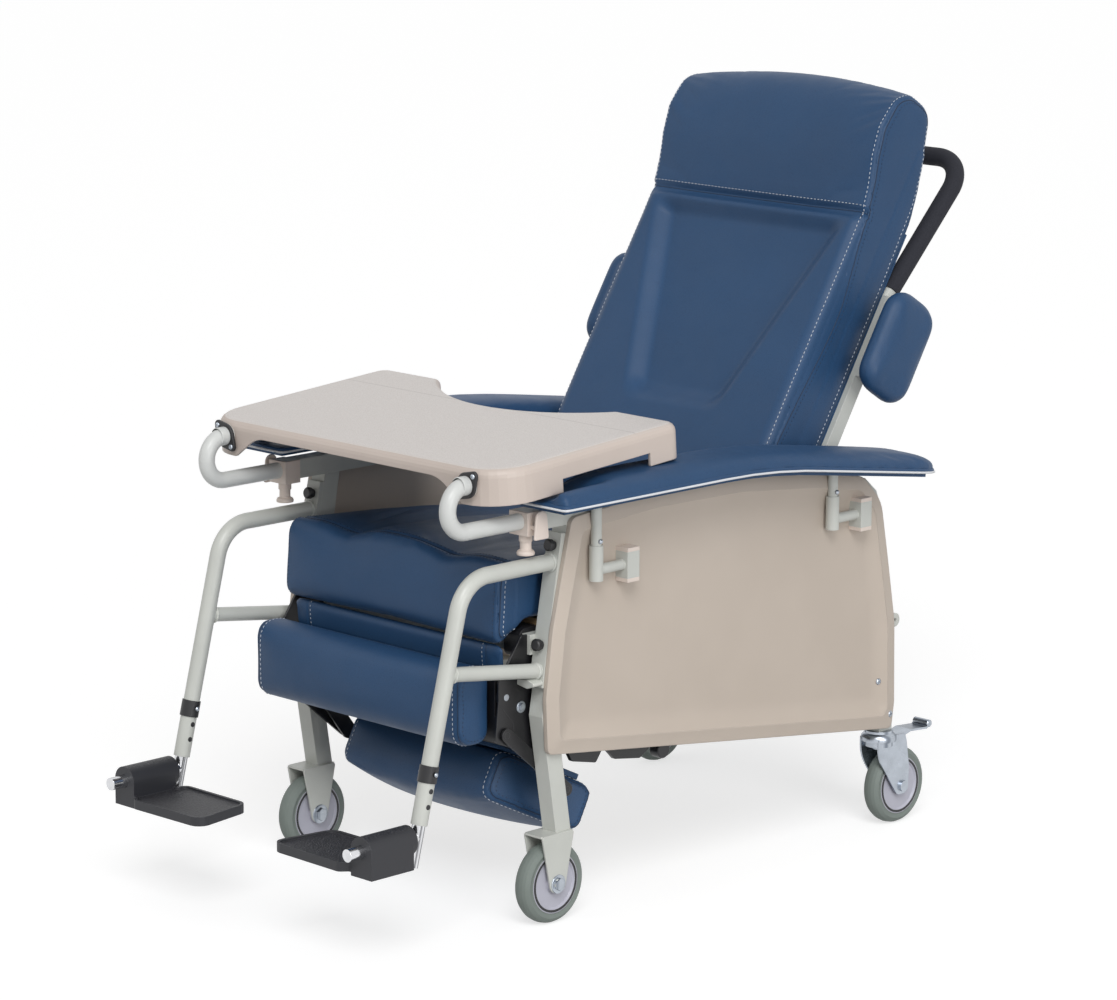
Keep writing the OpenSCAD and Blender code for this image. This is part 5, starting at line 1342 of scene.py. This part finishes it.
def floor_paper():
    """White paper that lights up a little for the camera and mirrors, and keeps the shadow."""
    material = bpy.data.materials.new("floor_paper")
    material.use_nodes = True
    tree = material.node_tree
    tree.nodes.clear()
    out = tree.nodes.new("ShaderNodeOutputMaterial")
    plain = tree.nodes.new("ShaderNodeBsdfDiffuse")
    plain.inputs["Color"].default_value = (0.55, 0.55, 0.55, 1.0)
    seen = tree.nodes.new("ShaderNodeBsdfDiffuse")
    seen.inputs["Color"].default_value = (0.5, 0.5, 0.5, 1.0)
    glow = tree.nodes.new("ShaderNodeEmission")
    glow.inputs["Strength"].default_value = floor_glow
    both = tree.nodes.new("ShaderNodeAddShader")
    tree.links.new(seen.outputs[0], both.inputs[0])
    tree.links.new(glow.outputs[0], both.inputs[1])
    ray = tree.nodes.new("ShaderNodeLightPath")
    mirror = tree.nodes.new("ShaderNodeMath")
    mirror.operation = "MAXIMUM"
    tree.links.new(ray.outputs["Is Camera Ray"], mirror.inputs[0])
    tree.links.new(ray.outputs["Is Glossy Ray"], mirror.inputs[1])
    through = tree.nodes.new("ShaderNodeMath")
    through.operation = "MAXIMUM"
    tree.links.new(mirror.outputs[0], through.inputs[0])
    tree.links.new(ray.outputs["Is Transmission Ray"], through.inputs[1])
    pick = tree.nodes.new("ShaderNodeMixShader")
    tree.links.new(through.outputs[0], pick.inputs["Fac"])
    tree.links.new(plain.outputs[0], pick.inputs[1])
    tree.links.new(both.outputs[0], pick.inputs[2])
    tree.links.new(pick.outputs[0], out.inputs["Surface"])
    return material


floor_mesh.materials.append(floor_paper())

world = bpy.data.worlds.new("studio")
world.use_nodes = True
bpy.context.scene.world = world
sky = world.node_tree
sky.nodes.clear()
sky_out = sky.nodes.new("ShaderNodeOutputWorld")
sky_light = sky.nodes.new("ShaderNodeBackground")
sky_light.inputs["Color"].default_value = (1.0, 1.0, 1.0, 1.0)
sky_light.inputs["Strength"].default_value = sky_strength
sky_white = sky.nodes.new("ShaderNodeBackground")
sky_white.inputs["Strength"].default_value = 1.0
sky_white.inputs["Color"].default_value = (1.0, 1.0, 1.0, 1.0)
sky_ray = sky.nodes.new("ShaderNodeLightPath")
sky_pick = sky.nodes.new("ShaderNodeMixShader")
sky_mirror = sky.nodes.new("ShaderNodeMath")
sky_mirror.operation = "MAXIMUM"
sky.links.new(sky_ray.outputs["Is Camera Ray"], sky_mirror.inputs[0])
sky.links.new(sky_ray.outputs["Is Glossy Ray"], sky_mirror.inputs[1])
sky_through = sky.nodes.new("ShaderNodeMath")
sky_through.operation = "MAXIMUM"
sky.links.new(sky_mirror.outputs[0], sky_through.inputs[0])
sky.links.new(sky_ray.outputs["Is Transmission Ray"], sky_through.inputs[1])
sky.links.new(sky_through.outputs[0], sky_pick.inputs["Fac"])
sky.links.new(sky_light.outputs[0], sky_pick.inputs[1])
sky.links.new(sky_white.outputs[0], sky_pick.inputs[2])
sky.links.new(sky_pick.outputs[0], sky_out.inputs["Surface"])


def lamp(name, kind, strength, place, aim, size):
    """Soft lamp that points from its place at the chair."""
    light = bpy.data.lights.new(name, kind)
    light.energy = strength
    if kind == "SUN":
        light.angle = math.radians(size)
    else:
        light.shape = "DISK"
        light.size = size
    stand = bpy.data.objects.new(name, light)
    stand.location = place
    stand.rotation_euler = (Vector(aim) - Vector(place)).to_track_quat("-Z", "Y").to_euler()
    bpy.context.scene.collection.objects.link(stand)


lamp("key", "SUN", 1.5, (3.2, -3.0, 4.6), (0, 0, 0.5), 30.0)
lamp("softbox", "AREA", 9.0, (-2.2, -3.2, 2.6), (0, 0, 0.6), 2.2)
lamp("side_fill", "AREA", 66.0, (4.6, -1.2, 1.6), (0, 0, 0.4), 2.2)

scene = bpy.context.scene
scene.view_settings.view_transform = "Standard"
azimuth, elevation, tilt = math.radians(45.14), math.radians(11.62), math.radians(0.18)
back_way = Vector((math.sin(azimuth) * math.cos(elevation), -math.cos(azimuth) * math.cos(elevation),
                   math.sin(elevation)))
right_way = Vector((math.cos(azimuth), math.sin(azimuth), 0.0))
up_way = back_way.cross(right_way)
camera_data = bpy.data.cameras.new("camera")
camera_data.sensor_fit = "HORIZONTAL"
camera_data.sensor_width = 36.0
camera_data.lens = 136.59
camera = bpy.data.objects.new("camera", camera_data)
scene.collection.objects.link(camera)
camera_turn = Matrix((
    math.cos(tilt) * right_way + math.sin(tilt) * up_way,
    -math.sin(tilt) * right_way + math.cos(tilt) * up_way,
    back_way,
)).transposed().to_4x4()
camera.matrix_world = Matrix.Translation((4.566, -4.560, 1.886)) @ camera_turn
scene.camera = camera
